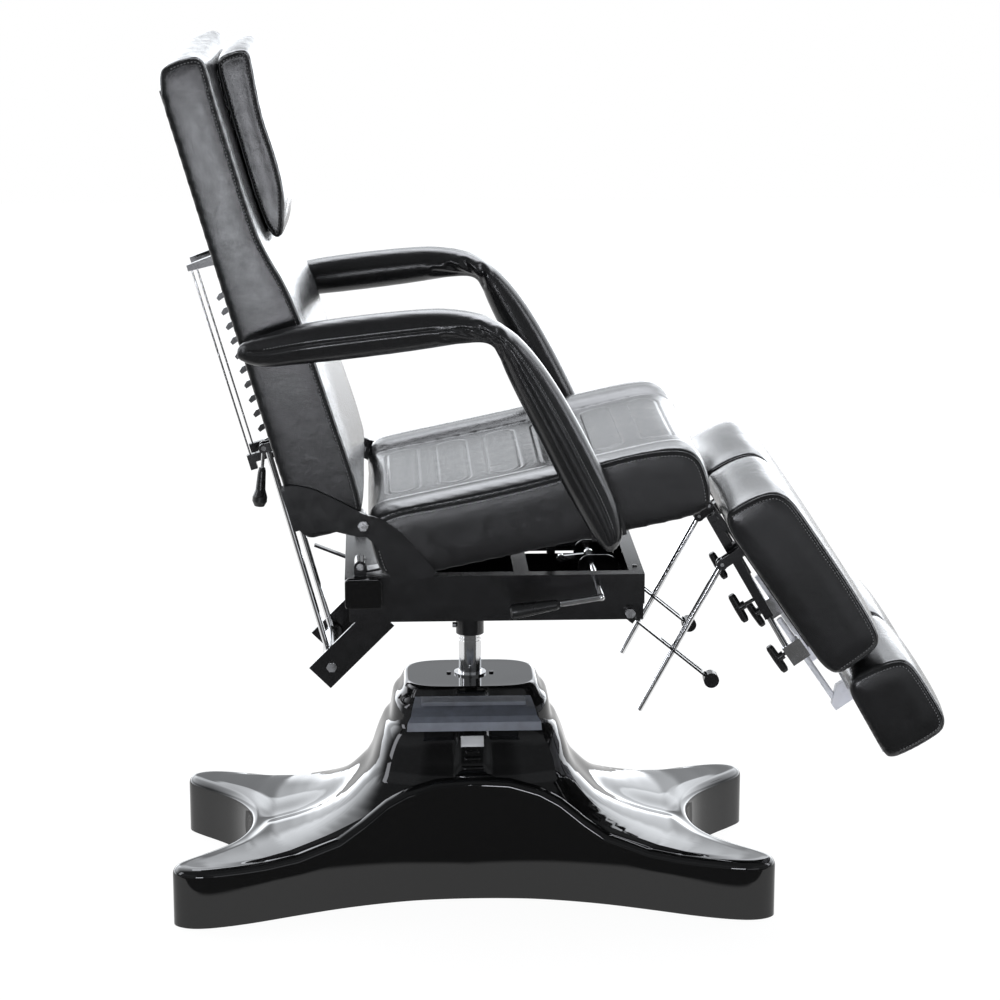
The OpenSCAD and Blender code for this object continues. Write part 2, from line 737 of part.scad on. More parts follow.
module rear_cross_tube() {
    half = tray_w / 2 + tube_out;
    color(steel_black) difference() {
        union() {
            translate([rear_tube_x0, -half, tray_z]) difference() {
                cube([rear_tube_w, 2 * half, rail_h]);
                translate([steel_t, -over, steel_t])
                    cube([rear_tube_w - 2 * steel_t, 2 * half + 2 * over, rail_h - 2 * steel_t]);
            }
            both() for (y = [hinge_y - barrel_len / 2 - seat_gap - lug_t,
                hinge_y + barrel_len / 2 + seat_gap])
                plate_y(y, y + lug_t) {
                    translate([pivot_x, pivot_z]) circle(d = barrel_d);
                    translate([pivot_x - barrel_d / 2, tray_top - eps])
                        square([barrel_d, pivot_z - tray_top]);
                }
            prop_rest();
        }
        translate([pivot_x, 0, pivot_z]) along_y(hinge_pin_d, -half - over, half + over);
    }
}

// Strap behind the rear tube that the back prop lies against when it is folded in
rest_len = 58;
rest_w = 14;
rest_y = 50;
rest_slope = 22;
module prop_rest() {
    translate([rear_tube_x0, rest_y, tray_z + rail_h * 0.42]) rotate([0, rest_slope, 0])
        translate([-rest_len, -rest_w / 2, 0]) cube([rest_len + steel_t, rest_w, steel_t]);
}

cap_len = 12;
cap_round = 7;
module tube_caps() {
    y0 = tray_w / 2 + tube_out;
    color(gloss_black) both() plate_y(y0, y0 + cap_len)
        translate([rear_tube_x0 + cap_round, tray_z + cap_round]) offset(r = cap_round)
            square([rear_tube_w - 2 * cap_round, rail_h - 2 * cap_round]);
}

module prop_arms() {
    color(steel_black) both() difference() {
        plate_y(prop_arm_y, prop_arm_y + prop_arm_t) intersection() {
            translate([prop_x, prop_z]) rotate(45) translate([-prop_arm_w * 0.56, -prop_arm_w / 2])
                square([prop_arm_len, prop_arm_w]);
            translate([prop_x - prop_arm_w, prop_z - prop_arm_w])
                square([prop_arm_len * 2, channel_z - prop_z + prop_arm_w]);
        }
        translate([prop_x, 0, prop_z]) along_y(lock_bolt_d, 0, prop_arm_y + 2 * prop_arm_t, small_fn);
    }
}

bearing_x0 = 178; // rear edge of the lever's bearing plates
bearing_len = 67;
bearing_y = 50;
bearing_t = 5;
bearing_r = 20; // corners of the bearing plates
module shaft_plates() {
    top = tray_top - steel_t / 2;
    color(steel_black) both() difference() {
        plate_y(bearing_y, bearing_y + bearing_t) {
            translate([bearing_x0, channel_z + steel_t])
                square([bearing_len, top - bearing_r - channel_z - steel_t]);
            translate([bearing_x0 + bearing_r, channel_z + steel_t])
                square([bearing_len - 2 * bearing_r, top - channel_z - steel_t]);
            for (x = [bearing_x0 + bearing_r, bearing_x0 + bearing_len - bearing_r])
                translate([x, top - bearing_r]) circle(r = bearing_r);
        }
        translate([shaft_x, 0, shaft_z]) along_y(shaft_d + fit, 0, tray_w / 2);
    }
}

module chassis_bolts() {
    color(chrome) {
        both() {
            translate([prop_x, 0, prop_z])
                bolt_y(lock_bolt_d, prop_arm_y + seat_gap, prop_arm_y + prop_arm_t);
            translate([lock_x, 0, lock_z])
                bolt_y(lock_bolt_d - fit, channel_w / 2 - steel_t, channel_w / 2 + lock_t + 2 * seat_gap);
            translate([pivot_x, 0, pivot_z])
                along_y(hinge_pin_d - fit, hinge_y - barrel_len / 2 - lug_t - seat_gap,
                    hinge_y + barrel_len / 2 + lug_t + seat_gap);
            translate([floor_bolt_x, floor_bolt_y, channel_z - floor_bolt_d * 0.6]) {
                cylinder(d = floor_bolt_d, h = floor_bolt_d * 0.6 + steel_t, $fn = small_fn);
                cylinder(d = floor_bolt_d * 1.8, h = floor_bolt_d * 0.6, $fn = hex_fn);
            }
            translate([tray_x1 - rail_w / 2, tray_bolt_y, tray_top - steel_t]) {
                cylinder(d = screw_d, h = steel_t, $fn = small_fn);
                translate([0, 0, steel_t]) cylinder(d = screw_d * 2, h = screw_d / 2, $fn = small_fn);
            }
        }
        translate([-collar_d / 2 - set_screw_d, 0, channel_z - collar_h * 0.78]) rotate([0, 90, 0]) {
            cylinder(d = set_screw_d * 1.6, h = set_screw_d, $fn = hex_fn);
            cylinder(d = set_screw_d, h = set_screw_d + (collar_d - piston_d) / 2 - seat_gap,
                $fn = small_fn);
        }
    }
}

// Tilt lever and strut

lever_reach = 63; // length of the bare lever
lever_drop = 10;
lever_end = [-lever_reach, -lever_drop]; // from the shaft, in X and Z
lever_rod_d = 10;
module lever_line(d, a, b) {
    hull() {
        translate([a.x, 0, a.y]) sphere(d = d, $fn = small_fn);
        translate([b.x, 0, b.y]) sphere(d = d, $fn = small_fn);
    }
}

module tilt_shaft() {
    color(chrome) translate([shaft_x, 0, shaft_z]) {
        along_y(shaft_d, shaft_out_y, shaft_in_y);
        translate([0, shaft_out_y, 0]) {
            sphere(d = shaft_d, $fn = small_fn);
            lever_line(lever_rod_d, [0, 0], lever_end);
        }
        reach = (shaft_x - strut_top_x - strut_w / 2 - shoe_gap - shoe_d / 2) / cos(shoe_slope);
        plate_y(shoe_y, shoe_y + shoe_t) rotate(shoe_slope) {
            circle(d = shaft_d + shoe_t);
            translate([-reach, 0]) circle(d = shoe_d);
            translate([-reach, -shoe_t / 2]) square([reach, shoe_t]);
        }
    }
}

module tilt_grip() {
    slope = atan2(-lever_end.y, -lever_end.x);
    color(vinyl_black) translate([shaft_x + lever_end.x, shaft_out_y, shaft_z + lever_end.y])
        rotate([0, -slope, 0]) rotate([0, -90, 0]) translate([0, 0, lever_rod_d / 2]) rotate_extrude()
            polygon(sized(tilt_grip_shares, grip_r, grip_len));
}
grip_r = 12.5;
// Half profile of the lever's grip, as shares of its radius and length
tilt_grip_shares = [[0, 0], [0.56, 0], [0.68, 0.04], [0.76, 0.30], [1, 0.86], [0.96, 0.96], [0.72, 1],
    [0, 1]];

module tilt_strut() {
    color(steel_black) translate([strut_top_x, 0, strut_top_z]) difference() {
        plate_y(strut_y, strut_y + strut_t) {
            circle(d = strut_w);
            translate([-strut_w / 2, -strut_len]) square([strut_w, strut_len]);
        }
        along_y(strut_pin_d, strut_y - over, strut_y + strut_t + over);
    }
}

// Seat

strut_seat = in_seat_frame(strut_top_x, strut_top_z);
arm_seat = in_seat_frame(arm_x, arm_z);
foot_w = 34; // foot of a side plate under its board
foot_z = 1; // underside of such a foot
pivot_seat = in_seat_frame(pivot_x, pivot_z);

module seat_frame() {
    color(steel_black) in_seat() difference() {
        union() {
            both() {
                translate([pivot_seat.x, hinge_y - barrel_len / 2, 0])
                    cube([leg_hinge_seat.x - pivot_seat.x, strap_w, strap_t]);
                translate([pivot_seat.x, 0, pivot_seat.y])
                    along_y(barrel_d, hinge_y - barrel_len / 2, hinge_y + barrel_len / 2);
                for (y = [hinge_y - strap_w / 2, hinge_y + strap_w / 2 - knuckle_w]) {
                    translate([leg_hinge_seat.x, 0, leg_hinge_seat.y]) along_y(knuckle_d, y, y + knuckle_w);
                    translate([leg_hinge_seat.x - knuckle_d / 2, y, leg_hinge_seat.y])
                        cube([knuckle_d / 2, knuckle_w, strap_t - leg_hinge_seat.y]);
                }
            }
            translate([strut_seat.x - strap_w, -hinge_y, 0]) cube([2 * strap_w, 2 * hinge_y, strap_t]);
            for (y = [strut_y - seat_gap - lug_t, strut_y + strut_t + seat_gap])
                plate_y(y, y + lug_t) hull() {
                translate([strut_seat.x, strut_seat.y]) circle(d = strut_eye_d);
                translate([strut_seat.x - strut_eye_d / 2, 0]) square([strut_eye_d, strap_t]);
            }
        }
        translate([pivot_seat.x, 0, pivot_seat.y]) along_y(hinge_pin_d, -tray_w, tray_w);
        translate([strut_seat.x, 0, strut_seat.y]) along_y(strut_pin_d, -lug_t * 4, lug_t * 4);
        translate([leg_hinge_seat.x, 0, leg_hinge_seat.y]) along_y(knuckle_pin_d, -tray_w, tray_w);
    }
}

module seat_board() {
    color(wood) in_seat() translate([board_inset, -seat_w / 2 + board_inset, strap_t])
        cube([seat_len - 2 * board_inset - board_front, seat_w - 2 * board_inset, board_t]);
}

// Side outline of the seat cushion, as shares of its length and thickness
seat_outline_shares = [[0.004, 0], [-0.012, 0.45], [-0.020, 0.80], [-0.018, 0.94], [0.010, 0.965]];
seat_front_shares = [[0.890, 1.030], [0.945, 1.000], [0.975, 0.930], [0.986, 0.700], [0.984, 0.300],
    [0.980, 0]];

// Top line of the seat with a dip along both edges of each stitched loop
function seat_top() = let (
    first = 0.09 * seat_len,
    pitch = 0.80 * seat_len / loops)
    [for (i = [0:loops - 1]) let (c = first + pitch * i) each
        [for (s = [0, 0.28, 0.56, 0.78])
            [c + s * pitch, seat_th * mix(0.975, 1.035, (c + s * pitch) / seat_len)]]];

function seat_loop_dip(x, y) = let (
    first = 0.09 * seat_len,
    pitch = 0.80 * seat_len / loops,
    phase = (x - first) / pitch - floor((x - first) / pitch + 0.001))
    (x > first - over && x < first + pitch * loops && abs(y) < seat_w * 0.39
        && (phase < 0.05 || abs(phase - 0.56) < 0.05)) ? channel_depth : 0;

function seat_outline() = concat(sized(seat_outline_shares, seat_len, seat_th), seat_top(),
    sized(seat_front_shares, seat_len, seat_th), [[0.66 * seat_len, 0], [0.33 * seat_len, 0]]);

module seat_cushion() {
    outline = seat_outline();
    half = seat_w / 2;
    color(vinyl_black) in_seat() translate([0, 0, strap_t]) difference() {
        loft([for (s = pad_station_shares) let (y = s[0] * half)
            [for (p = pad_ring(outline, y, half, s[1] * piping, seat_crown, side_draw))
                [p.x, p.y, p.z - (p.z > seat_th * 0.8 ? seat_loop_dip(p.x, p.y) : 0)]]]);
        translate([board_inset, -half + board_inset, -over])
            cube([seat_len - 2 * board_inset - board_front, seat_w - 2 * board_inset, board_t + over]);
    }
}

// Fan plates: control points from the back pivot in X and Z, as shares of the plates' size
plate_gap = seat_w / 2 + seat_gap;
seat_fan_size = 120;
back_fan_size = 125;
seat_fan_shares = [[-0.075, 0.133], [0.092, 0.133], [0.317, 0.033], [0.55, -0.167], [0.8, -0.467],
    [0.967, -0.65], [0.933, -0.683], [0.367, -0.8], [0.333, -0.667], [0.267, -0.433], [0.133, -0.25],
    [0.017, -0.142], [-0.1, -0.117]];
back_fan_shares = [[0.112, 0.096], [-0.016, 0.16], [-0.352, 0.344], [-0.672, 0.496], [-0.992, 0.528],
    [-0.968, 0.464], [-0.824, -0.144], [-0.448, -0.048], [-0.208, -0.112], [0, -0.16], [0.128, -0.064]];
ear_d = 36;
back_bolt_d = 10;

module seat_hinge_plates() {
    color(steel_black) both() difference() {
        union() {
            plate_y(plate_gap, plate_gap + plate_metal) translate([back_pivot_x, back_pivot_z]) {
                polygon(cut_corners(sized(seat_fan_shares, seat_fan_size, seat_fan_size)));
                circle(d = ear_d);
            }
            in_seat() translate([board_inset, plate_gap - foot_w, foot_z]) {
                cube([2 * foot_w, foot_w + eps, plate_metal]);
                translate([0, foot_w, 0]) cube([2 * foot_w, plate_metal, 2 * plate_metal]);
            }
        }
        translate([back_pivot_x, 0, back_pivot_z]) along_y(back_bolt_d, 0, seat_w);
    }
}

module seat_pins() {
    color(chrome) {
        both() {
            translate([back_pivot_x, 0, back_pivot_z]) {
                bolt_y(back_bolt_d - fit, plate_gap, plate_gap + 2 * (plate_metal + seat_gap));
            }
            translate([leg_hinge_x, 0, leg_hinge_z])
                along_y(knuckle_pin_d - fit, hinge_y - strap_w / 2 - pin_out,
                    hinge_y + strap_w / 2 + pin_out, small_fn);
        }
        translate([strut_top_x, 0, strut_top_z])
            along_y(strut_pin_d - fit, strut_y - lug_t - seat_gap,
                strut_y + strut_t + lug_t + seat_gap, small_fn);
    }
}

module armrest_brackets() {
    color(steel_black) both() {
        in_seat() {
            translate([arm_seat.x - stud_d, plate_gap, foot_z])
                cube([2 * stud_d, plate_metal, arm_seat.y + stud_d - foot_z]);
            translate([arm_seat.x - stud_d, plate_gap - foot_w, foot_z])
                cube([2 * stud_d, foot_w + eps, plate_metal]);
        }
        translate([arm_x, 0, arm_z]) along_y(stud_pin_d - fit, plate_gap + plate_metal - eps, 
                arm_span / 2 - stud_inset - stud_wall - stud_short);
    }
}

// Armrests

function arm_point(i, path) = [arm_x + path[i].x * arm_len, arm_z + path[i].y * arm_rise];

module armrest_pad() {
    path = cut_open(cut_open(arm_path_shares));
    points = [for (i = [0:len(path) - 1]) arm_point(i, path)];
    last = len(points) - 1;
    sides = 12;
    loft([for (i = [0:last]) let (
        t = i / last,
        k = lookup(t, arm_thickness_shares),
        a = points[max(0, i - 1)],
        b = points[min(last, i + 1)],
        dir = (b - a) / norm(b - a))
        [for (j = [0:sides - 1]) let (
            u = 360 * j / sides,
            across = cos(u) * arm_d / 2 * k,
            out = sin(u) * arm_w / 2 * (k < 0.5 ? k + 0.2 : min(1, k)))
            [points[i].x - dir.y * across, arm_span / 2 + out, points[i].y + dir.x * across]]]);
}

module armrest(right) {
    color(vinyl_black) on_side(right) difference() {
        armrest_pad();
        translate([arm_x, 0, arm_z]) along_y(stud_d, 0, arm_span / 2 - stud_inset);
    }
}

module armrest_stud(right) {
    color(steel_black) on_side(right) translate([arm_x, 0, arm_z]) difference() {
        along_y(stud_d, plate_gap + plate_metal + seat_gap, arm_span / 2 - stud_inset);
        along_y(stud_pin_d, 0, arm_span / 2 - stud_inset - stud_wall);
    }
}

module armrest_left() armrest(false);
module armrest_right() armrest(true);
module armrest_stud_left() armrest_stud(false);
module armrest_stud_right() armrest_stud(true);

// Back

// Side outline of the back cushion, as shares of its length and full thickness
back_outline_shares = [[-0.016, 0.02], [-0.018, 0.35], [-0.018, 0.70], [0.000, 0.93], [0.030, 0.985],
    [0.11, 1.005], [0.21, 0.975], [0.32, 0.955], [0.43, 0.945], [0.50, 0.880], [0.56, 0.775], [0.61, 0.705],
    [0.72, 0.700], [0.80, 0.700], [0.90, 0.690], [0.955, 0.740], [0.980, 0.740], [0.984, 0.560],
    [0.978, 0.250], [0.955, 0.015], [0.930, 0], [0.62, 0], [0.31, 0]];

// The back's frame has Z along the back, so a pad drawn along X is turned upright
module upright() {
    rotate([0, -90, 0]) mirror([0, 0, 1]) children();
}

module back_board() {
    color(steel_black) in_back() upright() translate([board_inset, -seat_w / 2 + board_inset, 0])
        cube([back_len * 0.92, seat_w - 2 * board_inset, board_t]);
}

module back_cushion() {
    color(vinyl_black) in_back() upright() difference() {
        pad(cut_corners(sized(back_outline_shares, back_len, back_th)), seat_w, back_crown, piping);
        translate([board_inset, -seat_w / 2 + board_inset, -over])
            cube([back_len * 0.92, seat_w - 2 * board_inset, board_t + over]);
    }
}

module back_hinge_plates() {
    y0 = plate_gap + plate_metal + seat_gap;
    color(steel_black) both() difference() {
        union() {
            plate_y(y0, y0 + plate_metal) translate([back_pivot_x, back_pivot_z]) {
                polygon(cut_corners(sized(back_fan_shares, back_fan_size, back_fan_size)));
                circle(d = ear_d);
            }
            in_back() upright() {
                translate([back_foot_s, plate_gap - foot_w, -plate_metal])
                    cube([2 * foot_w, y0 + plate_metal - plate_gap + foot_w, plate_metal]);
                translate([back_foot_s, y0, -plate_metal]) cube([2 * foot_w, plate_metal, 3 * plate_metal]);
            }
        }
        translate([back_pivot_x, 0, back_pivot_z]) along_y(back_bolt_d, 0, seat_w);
    }
}
back_foot_s = 8; // lower end of the foot behind the back's board

module back_rack() {
    color(steel_black) in_back() upright() {
        handle_ears();
        both() {
            guide_brackets();
            translate([rack_s0, rack_y - rack_w / 2, -rack_base_t])
                cube([tooth_pitch * (teeth + 1), rack_w, rack_base_t]);
            for (i = [0:teeth]) translate([rack_s0 + tooth_pitch * i, 0, 0]) rack_tooth();
        }
    }
}

module rack_tooth() {
    foot = -rack_base_t + eps;
    plate_y(rack_y - rack_w / 4, rack_y + rack_w / 4)
        polygon([[0, foot], [0, -rack_depth * 0.62], [-tooth_pitch * 0.12, -rack_depth * 0.92],
            [tooth_pitch * 0.10, -rack_depth], [tooth_pitch * 0.34, -rack_depth * 0.80],
            [tooth_pitch * 0.42, -rack_depth * 0.35], [tooth_pitch, -rack_base_t - tooth_foot],
            [tooth_pitch, foot]]);
}

module handle_ears() {
    y = handle_pin_len / 2 - handle_ear_t;
    translate([handle_s, handle_y, -handle_t]) difference() {
        union() {
            for (y0 = [-y - handle_ear_t, y]) plate_y(y0, y0 + handle_ear_t) {
                circle(d = 2 * handle_pin_d);
                translate([-handle_pin_d * 0.9, 0])
                    square([handle_pin_d * 1.8, handle_t - handle_ear_t / 2]);
            }
            translate([-handle_pin_d * 1.5, -y - handle_ear_t, handle_t - handle_ear_t])
                cube([3 * handle_pin_d, 2 * y + 2 * handle_ear_t, handle_ear_t]);
        }
        along_y(handle_pin_d, -handle_pin_len, handle_pin_len);
    }
}

guide_w = 12; // width of a guide bracket
// Guide brackets from the ends of the wires, as shares of the wires' distance from the board
top_guide_shares = [[-0.17, 0], [0.14, 0], [0.05, -1.10], [-0.12, -1.10]];
low_guide_shares = [[-0.14, 0], [0.10, 0], [0.10, -1.10], [-0.34, -1.10], [-0.34, -0.90], [-0.14, -0.90]];

module wire(d) {
    translate([wire_s0, wire_y, -wire_t]) rotate([0, 90, 0])
        cylinder(d = d, h = wire_s1 - wire_s0, $fn = small_fn);
}

module guide_brackets() {
    difference() {
        plate_y(wire_y - guide_w / 2, wire_y + guide_w / 2) {
            translate([wire_s1, 0]) polygon(sized(top_guide_shares, wire_t, wire_t));
            translate([wire_s0, 0]) polygon(sized(low_guide_shares, wire_t, wire_t));
        }
        wire(wire_d + fit);
    }
}

module guide_frame() {
    color(chrome) in_back() upright() both() wire(wire_d);
}

// Side outline of the head pillow, as shares of its length and thickness
pillow_outline_shares = [[0.0, 0.30], [0.02, 0.40], [0.12, 0.72], [0.26, 0.97], [0.50, 1.0], [0.75, 1.0],
    [0.94, 1.06], [1.0, 0.95], [1.0, 0.12], [0.96, 0], [0.5, 0], [0.20, 0], [0.09, 0.06], [0.03, 0.16]];
pillow_s = 440;
pillow_t = 0.700; // front of the head zone, as a share of the back's thickness
pillow_lift = 0.42; // share of the back's crown there
module head_pillow() {
    color(vinyl_black) in_back() upright()
        translate([pillow_s, 0, back_th * pillow_t + back_crown * pillow_lift + seat_gap / 2])
            pad(cut_corners(sized(pillow_outline_shares, pillow_len, pillow_th)), pillow_w,
                piping * 0.6, piping);
}

module release_shaft() {
    color(chrome) in_back() upright() translate([handle_s, handle_y, -handle_t]) {
        along_y(handle_pin_d - fit, -handle_pin_len / 2, handle_pin_len / 2);
        rotate([0, handle_hang, 0]) rotate([0, 90, 0]) translate([0, 0, -handle_neck])
            cylinder(d = handle_neck_d, h = handle_neck);
    }
}

grip_out = 66; // length of the handle's grip
grip_w = 24; // its widest diameter
// Half profile of the handle's grip, as shares of half its width and of its length
release_grip_shares = [[0, 0], [0, -1], [0.67, -0.97], [1, -0.85], [1, -0.73], [0.67, -0.55], [0.54, -0.09],
    [0.42, 0]];
module release_grip() {
    color(vinyl_black) in_back() upright() translate([handle_s, handle_y, -handle_t])
        rotate([0, handle_hang, 0]) rotate([0, 90, 0]) translate([0, 0, -handle_neck])
            rotate_extrude() polygon(sized(release_grip_shares, grip_w / 2, grip_out));
}

// Back prop

module prop_axle() {
    color(chrome) translate([prop_x, 0, prop_z])
        along_y(prop_axle_d - fit, -prop_arm_y + fit, prop_arm_y - fit);
}

module prop_frame() {
    color(chrome) translate([prop_x, 0, prop_z]) rotate([0, -prop_angle, 0]) difference() {
        union() {
            along_y(prop_sleeve_d, -prop_rod_y - prop_rod_d * 0.7, prop_rod_y + prop_rod_d * 0.7);
            both() {
                translate([0, prop_rod_y, 0]) cylinder(d = prop_rod_d, h = prop_len + prop_rod_d);
                translate([0, 0, prop_len])
                    along_y(prop_rod_d * 0.8, rack_y + rack_w / 2 + seat_gap * 2, prop_rod_y);
            }
        }
        along_y(prop_axle_d, -prop_arm_y, prop_arm_y);
    }
}

// Leg rests

calf_outline_shares = [[0.002, 0], [0.000, 0.42], [0.004, 0.74], [0.024, 0.93], [0.075, 1.00], [0.17, 1.01],
    [0.40, 1.0], [0.70, 0.985], [0.90, 0.965], [0.985, 0.920], [1.000, 0.80], [1.000, 0.40], [0.998, 0],
    [0.66, 0], [0.33, 0]];
foot_outline_shares = [[0.0, 0], [-0.01, 0.35], [0.02, 0.70], [0.05, 0.86], [0.13, 0.96], [0.35, 0.985],
    [0.60, 1.0], [0.86, 1.02], [0.98, 0.97], [1.01, 0.86], [1.02, 0.40], [1.0, 0.08], [0.96, 0], [0.5, 0]];
inner_calf = leg_y - calf_w / 2;

module leg_frame(right) {
    color(steel_black) on_side(right) difference() {
        union() {
            in_leg() {
                translate([knuckle_d, hinge_y - strap_w / 2, pad_up - strap_t])
                    cube([calf_len * 0.86, strap_w, strap_t]);
                translate([0, hinge_y - strap_w / 2 + knuckle_w + seat_gap, pad_up - strap_t])
                    cube([knuckle_d + eps, strap_w - 2 * knuckle_w - 2 * seat_gap, strap_t]);
                along_y(knuckle_d, hinge_y - strap_w / 2 + knuckle_w + seat_gap,
                    hinge_y + strap_w / 2 - knuckle_w - seat_gap);
                for (y = [rod_y - rod_d / 2 - seat_gap - clevis_t, rod_y + rod_d / 2 + seat_gap])
                    plate_y(y, y + clevis_t) {
                        translate([rod_a, rod_up]) circle(d = clevis_w);
                        translate([rod_a - clevis_w * 0.45, rod_up])
                            square([clevis_w * 0.9, pad_up - strap_t / 2 - rod_up]);
                    }
            }
            in_tube() translate([0, -leg_tube / 2, -leg_tube / 2]) cube([leg_tube_len, leg_tube, leg_tube]);
            in_leg() for (a = [tube_a + hanger_len / 2, rod_a - hanger_len / 2])
                translate([a, tube_y - leg_tube / 2 + hanger_shift, tube_up - hanger_drop])
                    cube([hanger_len, leg_tube, pad_up - strap_t / 2 - tube_up + hanger_drop]);
        }
        in_tube() translate([-over, 0, 0]) rotate([0, 90, 0])
            cylinder(d = leg_rod_bore_d + fit, h = leg_tube_len + 2 * over);
        in_tube() translate([upper_knob_a, 0, -leg_tube])
            cylinder(d = knob_stem_d + fit, h = leg_tube, $fn = small_fn);
        in_leg() along_y(knuckle_pin_d, 0, leg_y * 2);
        in_leg() translate([rod_a, 0, rod_up])
            along_y(rod_pin_d, rod_y - rod_d - clevis_t, rod_y + rod_d + clevis_t, small_fn);
    }
}

module calf_pad(right) {
    color(vinyl_black) on_side(right) in_leg() translate([pad_a, leg_y, pad_up])
        pad(cut_corners(sized(calf_outline_shares, calf_len, calf_th)), calf_w, calf_crown, piping);
}
calf_crown = 6;

ext_start = 45; // inner end of the extension rod in the leg tube
ext_rod_len = 214.5;
block_low = -36;
block_h = 33;
slider_d = 10;
lower_knob_a = 292;
module extension(right) {
    color(chrome) on_side(right) difference() {
        union() {
            in_tube() translate([ext_start, 0, 0]) rotate([0, 90, 0])
                cylinder(d = leg_rod_bore_d, h = ext_rod_len);
            in_leg() translate([block_a, tube_y - leg_tube / 2 - block_over, block_low])
                cube([block_len, leg_tube + 2 * block_over, block_h]);
        }
        in_leg() translate([block_a - block_len, tube_y, slider_up]) rotate([0, 90, 0])
            cylinder(d = slider_d + fit, h = 3 * block_len);
        in_leg() translate([lower_knob_a, tube_y, block_low - over])
            cylinder(d = knob_stem_d + fit, h = slider_up - block_low, $fn = small_fn);
    }
}

bracket_a = 386; // foot bracket along the leg rest
bracket_low = -21;
bracket_len = 35;
bracket_h = 39;
bracket_shares = [[0, 1], [1, 0.92], [1, 0], [0.63, 0], [0, 0.59]];
module foot_frame(right) {
    color(chrome) on_side(right) {
        in_leg() {
            translate([slider_a, tube_y, slider_up]) rotate([0, 90, 0])
                cylinder(d = slider_d, h = slider_len);
            plate_y(tube_y - leg_tube / 2, tube_y + leg_tube / 2) translate([bracket_a, bracket_low])
                polygon(sized(bracket_shares, bracket_len, bracket_h));
        }
        in_foot() translate([board_inset, inner_calf + board_inset, 0])
            cube([foot_len - 2 * board_inset, calf_w - 2 * board_inset, board_t / 2]);
    }
}

module foot_cushion(right) {
    color(vinyl_black) on_side(right) in_foot() difference() {
        translate([0, leg_y, 0])
            pad(cut_corners(sized(foot_outline_shares, foot_len, foot_th)), calf_w, calf_crown, piping);
        translate([board_inset, inner_calf + board_inset, -over])
            cube([foot_len - 2 * board_inset, calf_w - 2 * board_inset, board_t / 2 + over]);
    }
}

// Half profile of a knob's bar, as shares of half its thickness and length
knob_shares = [[0, -1], [0.68, -1], [0.92, -0.82], [1, 0], [0.92, 0.82], [0.68, 1], [0, 1]];
// Clamp knob with a T grip; the top of its stem is at the origin
module t_knob(stem) {
    h = knob_bar / 2;
    translate([0, 0, -stem]) cylinder(d = knob_stem_d, h = stem, $fn = small_fn);
    translate([0, 0, -stem]) {
        rotate([0, 90, 0]) rotate_extrude() polygon(sized(knob_shares, knob_t / 2, h));
        cylinder(d = knob_t, h = knob_t * 0.9);
    }
}

upper_stem = 31;
module upper_knob(right) {
    color(vinyl_black) on_side(right) in_tube()
        translate([upper_knob_a, 0, -leg_rod_bore_d / 2 - fit / 2]) t_knob(upper_stem);
}

lower_stem = 35;
module lower_knob(right) {
    color(vinyl_black) on_side(right) in_leg()
        translate([lower_knob_a, tube_y, slider_up - slider_d / 2 - fit / 2]) t_knob(lower_stem);
}

rod_lean = 28.3; // lean of the leg prop rod at rest
rod_head = 9; // rod beyond its pin
module leg_rod(right) {
    color(chrome) on_side(right) in_leg() translate([rod_a, 0, rod_up])
        rotate([0, rod_lean - leg_slope, 0]) {
        translate([0, rod_y, rod_head - rod_len]) cylinder(d = rod_d, h = rod_len, $fn = small_fn);
        along_y(rod_pin_d - fit, rod_y - rod_d / 2 - clevis_t - seat_gap,
            rod_y + rod_d / 2 + clevis_t + seat_gap, small_fn);
    }
}

lock_ear_d = 24;
lock_start = 12; // start of the lever's strip from its bolt
lock_knob_s = 172;
lock_neck_d = 8;
module lock_lever(right) {
    y0 = channel_w / 2 + seat_gap;
    color(steel_black) on_side(right) translate([lock_x, 0, lock_z]) rotate([0, lock_slope, 0])
        difference() {
        union() {
            along_y(lock_ear_d, y0, y0 + lock_t);
            translate([lock_start, y0, -lock_t / 2])
                cube([lock_len - lock_start, rod_y + lock_w / 2 - y0, lock_t]);
            translate([0, y0, -lock_ear_d / 2]) cube([lock_start + lock_t, lock_t, lock_ear_d]);
            translate([lock_len - eps, rod_y, 0]) rotate([0, 90, 0])
                cylinder(d = lock_neck_d, h = lock_knob_s - lock_len, $fn = small_fn);
            translate([lock_knob_s, 0, 0])
                along_y(lock_knob_d, rod_y - lock_knob_len / 2, rod_y + lock_knob_len / 2);
        }
        along_y(lock_bolt_d, 0, seat_w / 2);
        translate([lock_slot0, rod_y - lock_slot_w / 2, -lock_t])
            cube([lock_slot1 - lock_slot0, lock_slot_w, 2 * lock_t]);
    }
}

module leg_frame_left() leg_frame(false);
module leg_frame_right() leg_frame(true);
module calf_pad_left() calf_pad(false);
module calf_pad_right() calf_pad(true);
module extension_left() extension(false);
module extension_right() extension(true);
module foot_frame_left() foot_frame(false);
module foot_frame_right() foot_frame(true);
module foot_cushion_left() foot_cushion(false);
module foot_cushion_right() foot_cushion(true);
module upper_knob_left() upper_knob(false);
module upper_knob_right() upper_knob(true);
module lower_knob_left() lower_knob(false);
module lower_knob_right() lower_knob(true);
module leg_rod_left() leg_rod(false);
module leg_rod_right() leg_rod(true);
module lock_lever_left() lock_lever(false);
module lock_lever_right() lock_lever(true);

